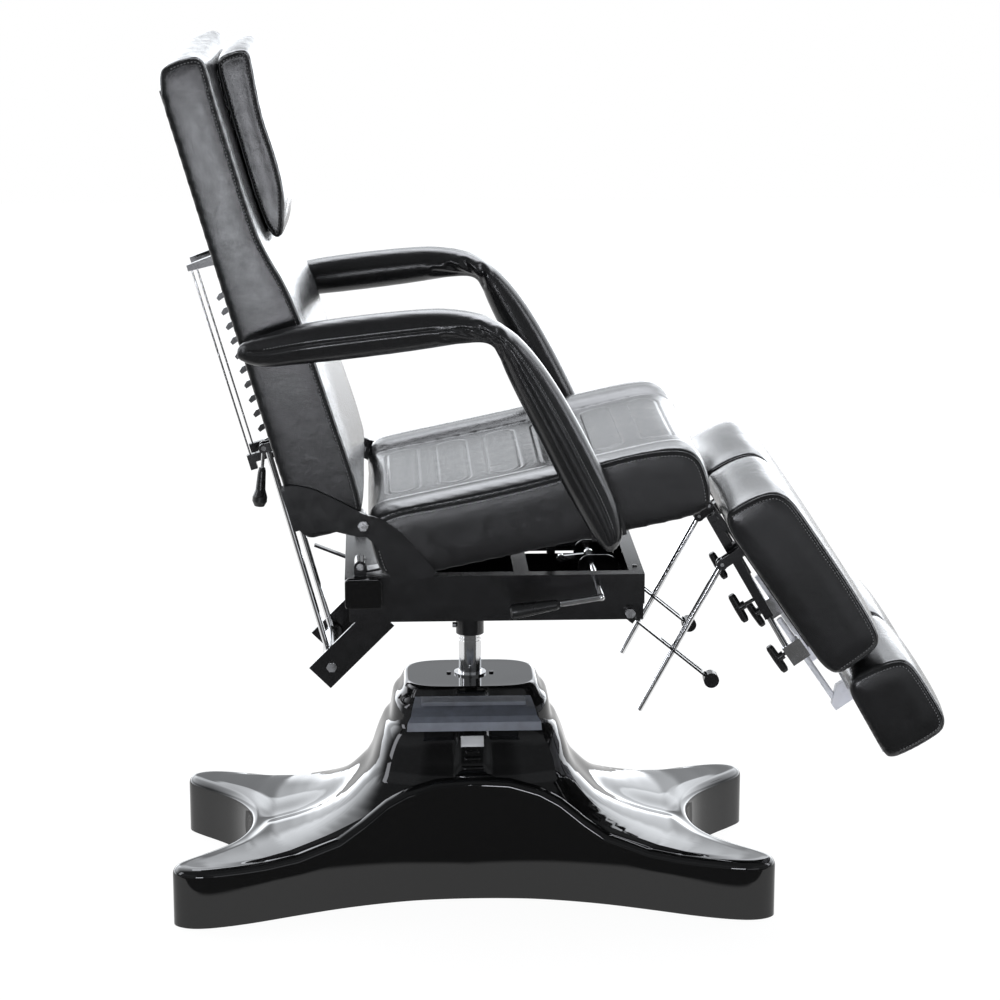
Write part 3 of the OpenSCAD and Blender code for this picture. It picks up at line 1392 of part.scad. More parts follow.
base_plate();
foot_pads();
base_cover();
pump_body();
guide_collar();
cover_screws();
pedal_pin();
pedal_arm();
pedal_pad();
piston();
spindle_socket();
lower_channel();
tray_frame();
rear_cross_tube();
tube_caps();
prop_arms();
shaft_plates();
chassis_bolts();
tilt_shaft();
tilt_grip();
tilt_strut();
seat_frame();
seat_board();
seat_cushion();
seat_hinge_plates();
seat_pins();
armrest_brackets();
back_board();
back_cushion();
back_hinge_plates();
back_rack();
guide_frame();
head_pillow();
release_shaft();
release_grip();
prop_axle();
prop_frame();
armrest_left();
armrest_right();
armrest_stud_left();
armrest_stud_right();
leg_frame_left();
leg_frame_right();
calf_pad_left();
calf_pad_right();
extension_left();
extension_right();
foot_frame_left();
foot_frame_right();
foot_cushion_left();
foot_cushion_right();
upper_knob_left();
upper_knob_right();
lower_knob_left();
lower_knob_right();
leg_rod_left();
leg_rod_right();
lock_lever_left();
lock_lever_right();
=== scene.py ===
import json
import math
import bmesh
import bpy
import numpy as np
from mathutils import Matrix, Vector
from mathutils.bvhtree import BVHTree
from mathutils.kdtree import KDTree


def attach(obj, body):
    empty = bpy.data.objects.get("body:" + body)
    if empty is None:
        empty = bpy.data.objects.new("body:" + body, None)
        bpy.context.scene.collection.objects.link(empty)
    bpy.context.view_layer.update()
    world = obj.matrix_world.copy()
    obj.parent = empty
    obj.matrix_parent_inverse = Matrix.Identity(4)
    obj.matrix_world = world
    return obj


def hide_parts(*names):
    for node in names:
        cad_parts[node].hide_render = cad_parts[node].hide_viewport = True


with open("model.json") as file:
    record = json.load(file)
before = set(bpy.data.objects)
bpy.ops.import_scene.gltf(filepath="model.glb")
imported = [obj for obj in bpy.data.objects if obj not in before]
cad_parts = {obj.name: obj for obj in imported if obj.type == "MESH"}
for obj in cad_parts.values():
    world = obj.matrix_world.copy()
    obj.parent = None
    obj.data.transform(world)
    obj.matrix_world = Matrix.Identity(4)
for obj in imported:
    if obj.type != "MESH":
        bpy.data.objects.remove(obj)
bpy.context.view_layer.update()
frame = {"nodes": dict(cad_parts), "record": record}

MM = 0.001
SIDES = (("left", 1), ("right", -1))


# Node trees and materials

class Nodes:
    """A node tree, with short ways to add and join nodes."""

    def __init__(self, tree):
        self.tree = tree
        self.tree.nodes.clear()

    def add(self, kind, **values):
        node = self.tree.nodes.new(kind)
        for key, value in values.items():
            setattr(node, key, value)
        return node

    def join(self, a, b):
        self.tree.links.new(a, b)

    def calc(self, operation, *values):
        """A math node, whose inputs are numbers or other nodes' outputs."""
        node = self.add("ShaderNodeMath", operation=operation)
        for value, socket in zip(values, node.inputs):
            if isinstance(value, float):
                socket.default_value = value
            else:
                self.join(value, socket)
        return node.outputs[0]

    def fade(self, source, start, end, at_start, at_end):
        """A smooth step of the source from one level to another."""
        node = self.add("ShaderNodeMapRange", interpolation_type="SMOOTHSTEP")
        ends = (("From Min", start), ("From Max", end), ("To Min", at_start), ("To Max", at_end))
        for key, value in ends:
            node.inputs[key].default_value = value
        self.join(source, node.inputs["Value"])
        return node.outputs[0]

    def axes(self, vector):
        split = self.add("ShaderNodeSeparateXYZ")
        self.join(vector, split.inputs[0])
        return split.outputs

    def mixed(self, share, first, second):
        mix = self.add("ShaderNodeMixShader")
        for value, socket in zip((share, first, second), mix.inputs):
            self.join(value, socket)
        return mix.outputs[0]


class Shader(Nodes):
    """A material's nodes around one Principled shader, in the object's own coordinates."""

    def __init__(self, name):
        self.mat = bpy.data.materials.new(name)
        self.mat.use_nodes = True
        super().__init__(self.mat.node_tree)
        self.out = self.add("ShaderNodeOutputMaterial")
        self.bsdf = self.add("ShaderNodeBsdfPrincipled")
        self.join(self.bsdf.outputs[0], self.out.inputs["Surface"])
        self.coord = self.add("ShaderNodeTexCoord").outputs["Object"]

    def set(self, **values):
        for key, value in values.items():
            self.bsdf.inputs[key.replace("_", " ")].default_value = value

    def noise(self, scale, detail=3.0, rough=0.5, stretch=None):
        n = self.add("ShaderNodeTexNoise")
        n.inputs["Scale"].default_value = scale
        n.inputs["Detail"].default_value = detail
        n.inputs["Roughness"].default_value = rough
        source = self.coord
        if stretch:
            m = self.add("ShaderNodeMapping")
            m.inputs["Scale"].default_value = stretch
            self.join(self.coord, m.inputs["Vector"])
            source = m.outputs[0]
        self.join(source, n.inputs["Vector"])
        return n.outputs["Fac"]

    def cells(self, scale):
        v = self.add("ShaderNodeTexVoronoi", feature="DISTANCE_TO_EDGE")
        v.inputs["Scale"].default_value = scale
        self.join(self.coord, v.inputs["Vector"])
        return v.outputs["Distance"]

    def ramp(self, fac, start, first, end, second):
        """Two colours, from the first at start to the second at end."""
        r = self.add("ShaderNodeValToRGB")
        for element, at, color in zip(r.color_ramp.elements, (start, end), (first, second)):
            element.position = at
            element.color = tuple(color) + (1,)
        self.join(fac, r.inputs[0])
        return r.outputs[0]

    def grey(self, fac, start, first, end, second):
        return self.ramp(fac, start, (first,) * 3, end, (second,) * 3)

    def patches(self, scale, detail, low, high):
        """A roughness that varies in patches between low and high."""
        return self.grey(self.noise(scale, detail), 0.3, low, 0.8, high)

    def bump(self, height, distance, strength, after=None):
        b = self.add("ShaderNodeBump")
        b.inputs["Strength"].default_value = strength
        b.inputs["Distance"].default_value = distance
        self.join(height, b.inputs["Height"])
        if after:
            self.join(after, b.inputs["Normal"])
        return b.outputs[0]

    def done(self, color, rough, normal):
        for value, name in ((color, "Base Color"), (rough, "Roughness"), (normal, "Normal")):
            self.join(value, self.bsdf.inputs[name])
        return self.mat


def leather(name, tone, rough, grain):
    s = Shader(name)
    fold = s.noise(26, 3, 0.55)
    dents = s.noise(140, 3, 0.5)
    pores = s.grey(s.cells(760), 0.0, 0.0, 0.32, 1.0)
    fine = s.noise(2400, 2)
    color = s.ramp(s.noise(9, 4), 0.3, (tone * 0.75,) * 3, 0.75, (tone * 1.25, tone * 1.25, tone * 1.32))
    normal = s.bump(fold, 0.0016, 0.22)
    normal = s.bump(dents, 0.0005, 0.12, normal)
    normal = s.bump(pores, 0.00035, grain, normal)
    normal = s.bump(fine, 0.0001, 0.12, normal)
    s.set(Specular_IOR_Level=0.55)
    return s.done(color, s.patches(55, 4, *rough), normal)


def steel(name, tone, rough, peel):
    s = Shader(name)
    color = s.ramp(s.noise(14, 4), 0.3, (tone * 0.8,) * 3, 0.8, (tone * 1.3, tone * 1.3, tone * 1.4))
    normal = s.bump(s.noise(420, 2), 0.00025, peel)
    return s.done(color, s.patches(60, 4, rough * 0.85, rough * 1.2), normal)


def chromed(name, tone, rough):
    s = Shader(name)
    s.set(Metallic=1.0)
    color = s.ramp(s.noise(20, 3), 0.3, (tone * 0.93, tone * 0.94, tone * 0.96), 0.8, (tone * 1.08,) * 3)
    normal = s.bump(s.noise(60, 2), 0.0001, 0.03)
    return s.done(color, s.patches(70, 5, rough * 0.6, rough * 1.7), normal)


def plastic(name, tone, rough, wave):
    s = Shader(name)
    color = s.ramp(s.noise(6, 3), 0.3, (tone * 0.9,) * 3, 0.8, (tone * 1.1,) * 3)
    normal = s.bump(s.noise(7, 1), 0.004, wave)
    s.set(Specular_IOR_Level=0.5)
    return s.done(color, s.grey(s.noise(40, 5), 0.35, rough * 0.7, 0.85, rough * 1.5), normal)


def rubber(name, tone):
    s = Shader(name)
    color = s.ramp(s.noise(50, 4), 0.3, (tone * 0.8, tone * 0.86, tone * 1.0),
                   0.8, (tone * 1.1, tone * 1.2, tone * 1.45))
    normal = s.bump(s.noise(500, 3), 0.0003, 0.3)
    return s.done(color, s.patches(70, 3, 0.40, 0.56), normal)


def board(name):
    s = Shader(name)
    lines = s.noise(30, 5, 0.6, (1, 1, 12))
    color = s.ramp(lines, 0.3, (0.016, 0.015, 0.015), 0.8, (0.030, 0.028, 0.027))
    return s.done(color, s.patches(90, 3, 0.55, 0.72), s.bump(s.cells(900), 0.0003, 0.3))


MATS = {
    "vinyl": leather("vinyl", 0.010, (0.17, 0.27), 0.10),
    "gloss_cover": plastic("gloss_cover", 0.0045, 0.035, 0.08),
    "black_steel": steel("black_steel", 0.008, 0.20, 0.12),
    "chrome": chromed("chrome", 0.80, 0.11),
    "grey_rubber": rubber("grey_rubber", 0.13),
    "grip": plastic("grip", 0.010, 0.30, 0.02),
    "plywood": board("plywood"),
    "board": steel("board", 0.62, 0.3, 0.1),
}
THREAD = plastic("thread", 0.12, 0.30, 0.02)
LABEL = plastic("label_blank", 0.55, 0.35, 0.02)
SCREW_METAL = chromed("screw_metal", 0.42, 0.26)
NODE_MATS = {"chassis_bolts": SCREW_METAL, "seat_pins": SCREW_METAL}
slot_of = {p["node"]: p["material_slot"] for p in frame["record"]["subparts"]}


# The solids' edges

def modified(obj, kind, **values):
    """Adds a modifier with these settings."""
    modifier = obj.modifiers.new(kind.lower(), kind)
    for key, value in values.items():
        setattr(modifier, key, value)
    return modifier


def bevelled(obj, width, angle, **more):
    modified(obj, "BEVEL", width=width, segments=2, limit_method="ANGLE", angle_limit=math.radians(angle),
             **more)


PLATE_BEVEL = 1.5
BEVELS = {
    2.0: ("tube_caps",),
    1.9: ("tray_frame", "lower_channel"),
    1.5: ("rear_cross_tube",),
    1.0: ("prop_arms", "extension_left", "extension_right"),
    0.8: ("shaft_plates", "seat_frame", "armrest_brackets", "leg_frame_left", "leg_frame_right",
          "foot_frame_left", "foot_frame_right", "tilt_strut", "pedal_arm"),
    0.6: ("back_rack", "guide_frame"),
    0.5: ("lock_lever_left", "lock_lever_right", "chassis_bolts", "seat_pins"),
    0.4: ("prop_frame",),
}
bevel_of = {name: width for width, names in BEVELS.items() for name in names}

for name, node in frame["nodes"].items():
    if "custom_normal" in node.data.attributes:
        node.data.attributes.remove(node.data.attributes["custom_normal"])
    node.data.materials.clear()
    node.data.materials.append(NODE_MATS.get(name, MATS[slot_of[name]]))
    for p in node.data.polygons:
        p.use_smooth = True
    node.data.set_sharp_from_angle(angle=math.radians(32))
    if name in ("seat_hinge_plates", "back_hinge_plates"):
        modified(node, "WELD", merge_threshold=0.02 * MM)
        bevelled(node, PLATE_BEVEL * MM, 50, harden_normals=True)
    elif name in bevel_of:
        modified(node, "WELD", merge_threshold=0.02 * MM)
        modified(node, "DECIMATE", decimate_type="DISSOLVE", angle_limit=math.radians(0.4))
        bevelled(node, bevel_of[name] * MM, 38)
        modified(node, "WEIGHTED_NORMAL", keep_sharp=True)


# Meshes

def new_mesh(name, verts, faces, mat):
    mesh = bpy.data.meshes.new(name)
    mesh.from_pydata([tuple(v) for v in verts], [], faces)
    mesh.update()
    mesh.materials.append(mat)
    obj = bpy.data.objects.new(name, mesh)
    bpy.context.scene.collection.objects.link(obj)
    return obj


def smooth(obj, angle=None):
    for p in obj.data.polygons:
        p.use_smooth = True
    if angle:
        obj.data.set_sharp_from_angle(angle=math.radians(angle))
    return obj


def per_vertex(mesh, what):
    """The vertices' "co" or "normal", one row each."""
    flat = np.empty(len(mesh.vertices) * 3)
    mesh.vertices.foreach_get(what, flat)
    return flat.reshape(-1, 3)


def set_coords(mesh, co):
    mesh.vertices.foreach_set("co", np.ascontiguousarray(co, float).ravel())
    mesh.update()


def rings_mesh(name, rings, mat, cap=True):
    """A skin over rings of as many points alike, with both ends closed by fans if cap says so."""
    n = len(rings[0])
    verts = [v for r in rings for v in r]
    faces = [(i * n + j, i * n + (j + 1) % n, (i + 1) * n + (j + 1) % n, (i + 1) * n + j)
             for i in range(len(rings) - 1) for j in range(n)]
    if cap:
        for k, row in ((0, rings[0]), (len(rings) - 1, rings[-1])):
            verts.append(np.mean(row, 0))
            c = len(verts) - 1
            for j in range(n):
                a, b = k * n + j, k * n + (j + 1) % n
                faces.append((a, c, b) if k == 0 else (a, b, c))
    return new_mesh(name, verts, faces, mat)


def edited(obj, change):
    """Runs change on the object's mesh as a bmesh."""
    bm = bmesh.new()
    bm.from_mesh(obj.data)
    change(bm)
    bm.to_mesh(obj.data)
    bm.free()
    return obj


def outward(obj):
    """Turns the faces so that a closed mesh has its normals outside."""
    return edited(obj, lambda bm: bmesh.ops.recalc_face_normals(bm, faces=bm.faces))


def baked(obj):
    """Applies the object's modifiers."""
    dg = bpy.context.evaluated_depsgraph_get()
    mesh = bpy.data.meshes.new_from_object(obj.evaluated_get(dg))
    obj.modifiers.clear()
    old = obj.data
    obj.data = mesh
    bpy.data.meshes.remove(old)
    return obj


# Outlines and paths, in millimetres

def chaikin(p, closed, times):
    """Cuts the corners of a line."""
    p = np.asarray(p, float)
    for _ in range(times):
        a, b = (p, np.roll(p, -1, 0)) if closed else (p[:-1], p[1:])
        cut = np.stack([a * 0.75 + b * 0.25, a * 0.25 + b * 0.75], 1).reshape(-1, p.shape[1])
        p = cut if closed else np.vstack([p[:1], cut, p[-1:]])
    return p


def run_of(p):
    """The way along a line up to each of its points."""
    return np.r_[0, np.cumsum(np.linalg.norm(np.diff(p, axis=0), axis=1))]


def resample(p, step, closed=True):
    p = np.asarray(p, float)
    q = np.vstack([p, p[:1]]) if closed else p
    d = run_of(q)
    n = max(4, int(round(d[-1] / step)))
    t = np.linspace(0, d[-1], n + 1)
    out = np.stack([np.interp(t, d, q[:, k]) for k in range(q.shape[1])], 1)
    return out[:-1] if closed else out


def outline_normals(p):
    d = np.roll(p, -1, 0) - np.roll(p, 1, 0)
    n = np.stack([d[:, 1], -d[:, 0]], 1)
    n /= np.linalg.norm(n, axis=1)[:, None] + 1e-9
    area = 0.5 * np.sum(p[:, 0] * np.roll(p[:, 1], -1) - np.roll(p[:, 0], -1) * p[:, 1])
    return n if area > 0 else -n


class Place:
    """A local frame: along (x), across (y) and up (z), in millimetres from its origin."""

    def __init__(self, origin, slope):
        self.o = np.array(origin, float)
        a = math.radians(slope)
        self.u = np.array([math.cos(a), 0, math.sin(a)])
        self.w = np.array([-math.sin(a), 0, math.cos(a)])

    def world(self, p):
        p = np.atleast_2d(np.asarray(p, float))
        return (self.o + p[:, :1] * self.u + p[:, 1:2] * np.array([0, 1, 0]) + p[:, 2:3] * self.w) * MM


class BackPlace(Place):
    """The same for the back: along is up the back, and up is out of its front."""

    def __init__(self, origin, lean):
        self.o = np.array(origin, float)
        a = math.radians(lean)
        self.u = np.array([-math.sin(a), 0, math.cos(a)])
        self.w = np.array([math.cos(a), 0, math.sin(a)])


SEAT = Place((-144, 0, 580), 11.8)
BACK = BackPlace((-279, 0, 665), 16.1)
LEG = Place((380, 0, 681), -55.5)
FOOT = Place(LEG.o + 345 * LEG.u + 20 * LEG.w, -60.5)


# Cushions: form

def matched(outlines, step):
    """Rounds and resamples outlines of as many points alike, so that their points correspond."""
    fine = [np.vstack([f, f[:1]]) for f in (chaikin(o, True, 2) for o in outlines)]
    d = run_of(fine[0])
    n = int(round(d[-1] / step))
    at = np.interp(np.linspace(0, d[-1], n + 1)[:-1], d, np.arange(len(d)))
    return [np.stack([np.interp(at, np.arange(len(f)), f[:, k]) for k in (0, 1)], 1) for f in fine]


def pad_form(name, place, outlines, half, y0, sections, belly):
    """A closed pad: its outlines are blended across the width by the sections, with full side panels."""
    outs = matched(outlines, 5.0)
    n, c = outline_normals(outs[0]), outs[0].mean(0)
    rings = []
    for y, weights in [(-y, w) for y, w in sections[::-1] if y > 0] + list(sections):
        p = sum(w * o for w, o in zip(weights, outs))
        rings.append(np.c_[p[:, 0], np.full(len(p), y0 + y), p[:, 1]])
    for s in (-1, 1):
        caps = [(outs[0] - n * drawn_in, half + belly * full)
                for drawn_in, full in ((4, 0.25), (14, 0.7), (28, 1.0))]
        caps.append((c + (outs[0] - c) * 0.3, half + belly))
        for p, y in caps:
            ring = np.c_[p[:, 0], np.full(len(p), y0 + s * y), p[:, 1]]
            rings = [ring] + rings if s < 0 else rings + [ring]
    return outward(smooth(rings_mesh(name, [place.world(r) for r in rings], MATS["vinyl"])))


def roll(half, power=3.2):
    """Sections from the middle to the seam for a seam outline and a fuller middle one."""
    out = []
    for share in np.sin(np.linspace(0, 1, 15) * math.pi / 2):
        full = math.sqrt(max(0, 1 - share ** power))
        out.append((share * half, (1 - full, full)))
    return out


def grown(outline, crown, limit=None, flat=12.0):
    """The outline pushed out by crown, but not along its bottom."""
    o = np.array(outline, float)
    n = outline_normals(o)
    lift = np.clip((o[:, 1] - o[:, 1].min()) / flat, 0, 1) * crown
    if limit is not None:
        lift *= limit(o[:, 0])
    return o + n * lift[:, None]


def tree_of(paths, step):
    pts = np.vstack([resample(p, step * MM, False) for p in paths])
    tree = KDTree(len(pts))
    for i, p in enumerate(pts):
        tree.insert(Vector(p), i)
    tree.balance()
    return tree, pts


CLOTH = {"quality": 4, "mass": 0.3, "tension_stiffness": 12, "compression_stiffness": 12,
         "shear_stiffness": 4, "bending_stiffness": 0.4, "use_pressure": True}
CLOTH_FRAMES = 16


def inflate(obj, voxel, cap, pin, pressure=4.0):
    """Voxel remesh, then Cloth with pressure; no point moves further than cap. pin tells which points hold."""
    modified(obj, "REMESH", mode="VOXEL", voxel_size=voxel, use_smooth_shade=True)
    baked(obj)
    rest = per_vertex(obj.data, "co")
    held = obj.vertex_groups.new(name="pin")
    held.add([int(i) for i in np.nonzero(pin(rest))[0]], 1.0, "REPLACE")
    cloth = modified(obj, "CLOTH")
    for key, value in CLOTH.items():
        setattr(cloth.settings, key, value)
    cloth.settings.uniform_pressure_force = pressure
    cloth.settings.effector_weights.gravity = 0
    cloth.settings.vertex_group_mass = "pin"
    cloth.collision_settings.use_collision = False
    scene = bpy.context.scene
    for f in range(1, CLOTH_FRAMES + 1):
        scene.frame_set(f)
    ev = obj.evaluated_get(bpy.context.evaluated_depsgraph_get())
    got = per_vertex(ev.to_mesh(), "co")
    ev.to_mesh_clear()
    obj.modifiers.clear()
    move = got - rest
    size = np.linalg.norm(move, axis=1)
    move *= (np.tanh(size / cap) * cap / np.maximum(size, 1e-9))[:, None]
    set_coords(obj.data, rest + move)
    scene.frame_set(1)
    modified(obj, "SMOOTH", factor=0.5, iterations=1)
    modified(obj, "SUBSURF", levels=1, render_levels=1)
    baked(obj)
    return smooth(obj)


def snapped(obj, path):
    """Points of a path moved onto the object's surface, with the normals there."""
    tree = BVHTree.FromObject(obj, bpy.context.evaluated_depsgraph_get())
    pts, nos = [], []
    for p in path:
        hit, no, _, _ = tree.find_nearest(Vector(p))
        pts.append(np.array(hit))
        nos.append(np.array(no))
    return np.array(pts), np.array(nos)


def carve(obj, paths, depth, width, puff):
    """Presses a rounded groove along each path; puff raises the surface beside it. All in millimetres."""
    depth, width, puff = depth * MM, width * MM, puff * MM
    co, no = per_vertex(obj.data, "co"), per_vertex(obj.data, "normal")
    tree, pts = tree_of(paths, 2.0)
    lo, hi = pts.min(0) - 0.02, pts.max(0) + 0.02
    for i in np.nonzero(np.all((co > lo) & (co < hi), axis=1))[0]:
        d = tree.find(Vector(co[i]))[2]
        if d < 4 * width:
            g = math.exp(-(d / width) ** 2) * depth
            b = puff * math.exp(-((d - 2.2 * width) / (1.2 * width)) ** 2)
            co[i] += no[i] * (b - g)
    set_coords(obj.data, co)


# Cushions: piping and stitches

STITCH = [(-1, 0, 0), (-0.55, 0.5, 0.1), (-0.55, 0, 0.62), (-0.55, -0.5, 0.1),
          (0.55, 0.5, 0.1), (0.55, 0, 0.62), (0.55, -0.5, 0.1), (1, 0, 0)]
STITCH_FACES = [(0, 2, 1), (0, 3, 2), (1, 2, 5, 4), (2, 3, 6, 5), (7, 4, 5), (7, 5, 6)]
STITCH_SINK = 0.1
PIPING_SIDES, PIPING_LIFT = 8, 0.2


def trim_piece(name, verts, faces, mat, body):
    piece = smooth(new_mesh(name, verts, faces, mat))
    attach(piece, body)


def stitches(name, obj, paths, body, pitch=5.4, length=3.4, width=1.6):
    """Short thread pieces, one for each pitch of the paths, laid on the surface."""
    verts, faces = [], []
    for path in paths:
        pts, nos = snapped(obj, resample(path, pitch * MM, False))
        for i in range(len(pts) - 1):
            t = pts[i + 1] - pts[i]
            if np.linalg.norm(t) < 1e-6 or np.linalg.norm(t) > 3 * pitch * MM:
                continue
            t /= np.linalg.norm(t)
            n = nos[i] - t * np.dot(nos[i], t)
            n /= np.linalg.norm(n) + 1e-9
            b = np.cross(n, t)
            base = len(verts)
            for x, y, z in STITCH:
                at = t * x * length / 2 + b * y * width + n * (z * width - STITCH_SINK)
                verts.append(pts[i] + at * MM)
            faces += [tuple(base + k for k in f) for f in STITCH_FACES]
    trim_piece(name, verts, faces, THREAD, body)


def piping(name, obj, paths, body, radius=1.5):
    """A round cord sewn along each path, half sunk in the surface."""
    verts, faces = [], []
    for path in paths:
        pts, nos = snapped(obj, resample(path, 5.0 * MM, False))
        for _ in range(2):
            pts[1:-1] = (pts[:-2] + 2 * pts[1:-1] + pts[2:]) / 4
            nos[1:-1] = nos[:-2] + nos[1:-1] + nos[2:]
        t = np.gradient(pts, axis=0)
        t /= np.linalg.norm(t, axis=1)[:, None] + 1e-12
        n = nos - t * np.sum(nos * t, 1)[:, None]
        n /= np.linalg.norm(n, axis=1)[:, None] + 1e-12
        b = np.cross(n, t)
        base, last = len(verts), len(pts) - 1
        for i in range(len(pts)):
            r = radius * (0.35 if i in (0, last) else 1)
            for k in range(PIPING_SIDES):
                a = 2 * math.pi * k / PIPING_SIDES
                at = n[i] * (PIPING_LIFT + r * math.cos(a)) + b[i] * r * math.sin(a)
                verts.append(pts[i] + at * MM)
        for i in range(last):
            for k in range(PIPING_SIDES):
                a, c = (base + i * PIPING_SIDES + j % PIPING_SIDES for j in (k, k + 1))
                faces.append((a, c, c + PIPING_SIDES, a + PIPING_SIDES))
        end = base + last * PIPING_SIDES
        faces.append(tuple(base + k for k in range(PIPING_SIDES))[::-1])
        faces.append(tuple(end + k for k in range(PIPING_SIDES)))
    trim_piece(name, verts, faces, MATS["vinyl"], body)


def part_of(outline, place, y, inset, keep):
    """The stretch of the side outline whose points keep(x, z) accepts, drawn in by inset, as one open path."""
    o = resample(chaikin(outline, True, 2), 4.0)
    p = o - outline_normals(o) * inset
    ok = np.array([keep(a, b) for a, b in o])
    if ok.all():
        path = np.vstack([p, p[:1]])
    else:
        start = [i for i in range(len(ok)) if ok[i] and not ok[i - 1]][0]
        path = []
        for k in range(len(ok)):
            i = (start + k) % len(ok)
            if not ok[i]:
                break
            path.append(p[i])
        path = np.array(path)
    return place.world(np.stack([path[:, 0], np.full(len(path), y), path[:, 1]], 1))


def cushion(name, node, body, place, outlines, half, keep, pin_h, y0=0, sections=None, belly=1.6, voxel=6.0,
            cap=4.0, creases=(), loops=(), low=0.0, inset=7.0):
    """A padded cover over its solid, piped and stitched along both sides.

    half is half its width around y0, keep(x, z) tells where its side seams run, everything below pin_h stays
    pinned, and nothing goes under low, all in the place's frame.
    """
    obj = pad_form(name, place, outlines, half, y0, sections or roll(half), belly)
    origin, up = place.o * MM, place.w
    edges = [part_of(outlines[0], place, y0 + s * half, 0.0, keep) for s in (-1, 1)]
    held = tree_of(list(edges) + list(creases), 4.0)[0]

    def pin(co):
        near = np.array([held.find(Vector(c))[2] for c in co]) < 5 * MM
        side = np.abs(co[:, 1] - y0 * MM) > (half - 0.5) * MM
        return near | side | ((co - origin) @ up < pin_h * MM)

    inflate(obj, voxel * MM, cap * MM, pin)
    co = per_vertex(obj.data, "co")
    co += np.outer(np.maximum(low * MM - (co - origin) @ up, 0), up)
    set_coords(obj.data, co)
    edges = [snapped(obj, s)[0] for s in edges]
    carve(obj, edges, 1.1, 2.4, 0.3)
    if creases:
        carve(obj, [snapped(obj, g)[0] for g in creases], 1.1, 3.0, 0.2)
    if loops:
        carve(obj, [snapped(obj, g)[0] for g in loops], 1.0, 2.2, 0.5)
    smooth(obj)
    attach(obj, body)
    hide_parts(node)
    sewn = [part_of(outlines[0], place, y0 + s * (half + belly * 0.6), inset, keep) for s in (-1, 1)]
    piping(name + "_piping", obj, edges, body)
    stitches(name + "_stitches", obj, sewn, body)
    if loops:
        stitches(name + "_loop_stitches", obj, loops, body, pitch=6.0, width=1.0)


# Seat, back, head pillow and leg rests: side outlines (along, up)

seat_seam = [(2, 5), (-4, 56), (-3, 88), (4, 102), (15, 106), (49, 113), (113, 110), (177, 109), (241, 110),
             (298, 112.5), (371, 119), (420, 122.5), (468, 120), (499, 114.5), (515, 106), (526, 93),
             (531, 68), (532, 43), (528, 5), (400, 5), (250, 5), (120, 5)]
seat_ridge = [(2, 5), (-8, 56), (-8, 95), (2, 118), (18, 126), (49, 126.5), (113, 126.5), (177, 126.5),
              (241, 126.5), (298, 127), (371, 127), (420, 127.5), (468, 127.5), (497, 125), (518, 117),
              (531, 98), (537, 70), (536, 43), (529, 5), (400, 5), (250, 5), (120, 5)]
seat_mid = [(2, 5), (-8, 56), (-8, 88), (0, 106), (14, 111), (49, 112), (113, 110), (177, 109), (241, 109),
            (298, 109), (371, 111), (420, 113), (468, 114), (497, 112), (516, 106), (529, 92), (537, 70),
            (536, 43), (529, 5), (400, 5), (250, 5), (120, 5)]
SEAT_HALF, RIDGE_Y, CREASE_Y = 284, 240, 197


def seat_sections():
    """Flat in the middle up to the crease, then a rise to the ridge and a fall to the side seam."""
    out = [(y, (0, 0, 1)) for y in (0, 40, 80, 120, 150, 175, 190, 196)]
    for y in (198, 201, 205, 211, 219, 229):
        full = math.sin(math.pi / 2 * (y - CREASE_Y) / (RIDGE_Y - CREASE_Y)) ** 1.2
        out.append((y, (0, full, 1 - full)))
    for y in (240, 252, 262, 270, 276, 280, 283, 284):
        full = math.sqrt(max(0, 1 - ((y - RIDGE_Y) / (SEAT_HALF - RIDGE_Y)) ** 2))
        out.append((y, (1 - full, full, 0)))
    return out


def seat_loops():
    """Six sewn loops across the middle panel, each two long lines with round ends."""
    out = []
    first, pitch, w, reach = 31, 84, 26, 134
    turn = np.linspace(0, math.pi, 15)
    for i in range(6):
        c = first + pitch * i + w
        pts = [(c + w * math.cos(a), reach + w * math.sin(a)) for a in turn]
        pts += [(c - w * math.cos(a), -reach - w * math.sin(a)) for a in turn]
        p = resample(np.array(pts + pts[:1]), 5, False)
        out.append(SEAT.world(np.stack([p[:, 0], p[:, 1], np.full(len(p), 114.0)], 1)))
    return out


def seat_creases():
    """The middle panel's two long edges."""
    x = np.linspace(6, 524, 60)
    z = np.interp(x, [6, 20, 497, 512, 524], [96, 112, 114, 108, 98])
    return [SEAT.world(np.stack([x, np.full(60, s * CREASE_Y), z], 1)) for s in (-1.0, 1.0)]


cushion("seat_pad", "seat_cushion", "seat", SEAT, [seat_seam, seat_ridge, seat_mid], SEAT_HALF,
        keep=lambda x, z: z > 20, pin_h=12, sections=seat_sections(), cap=3, creases=seat_creases(),
        loops=seat_loops(), low=5)

back_outline = [(-10, 3), (-13, 40), (-13, 81), (4, 104), (25, 109), (84, 110), (160, 107), (243, 105),
                (322, 103), (385, 96), (431, 85), (470, 78), (530, 77), (606, 77), (686, 77), (740, 80),
                (757, 74), (758, 34), (748, 0), (600, 0), (400, 0), (200, 0), (60, 0)]
back_crown = grown(back_outline, 6, lambda u: np.interp(u, [370, 450], [1, 0.25]))
cushion("back_pad", "back_cushion", "back", BACK, [back_outline, back_crown], 284,
        keep=lambda x, z: z > 20 and (x > 0 or z > 60), pin_h=6)

PILLOW_BASE = 82.3
pillow_outline = [(440, 99), (452, 109), (474, 117), (510, 128), (558, 131), (600, 130), (633, 129), (690, 135),
                  (730, 140), (738, 134), (737, 98), (730, 87.5), (690, 86), (641, 85), (549, 83), (483, 84.5),
                  (452, 91)]
cushion("pillow_pad", "head_pillow", "back", BACK, [pillow_outline, grown(pillow_outline, 7)], 165,
        keep=lambda x, z: True, pin_h=PILLOW_BASE + 3, voxel=5, cap=3.5, low=PILLOW_BASE, inset=6)

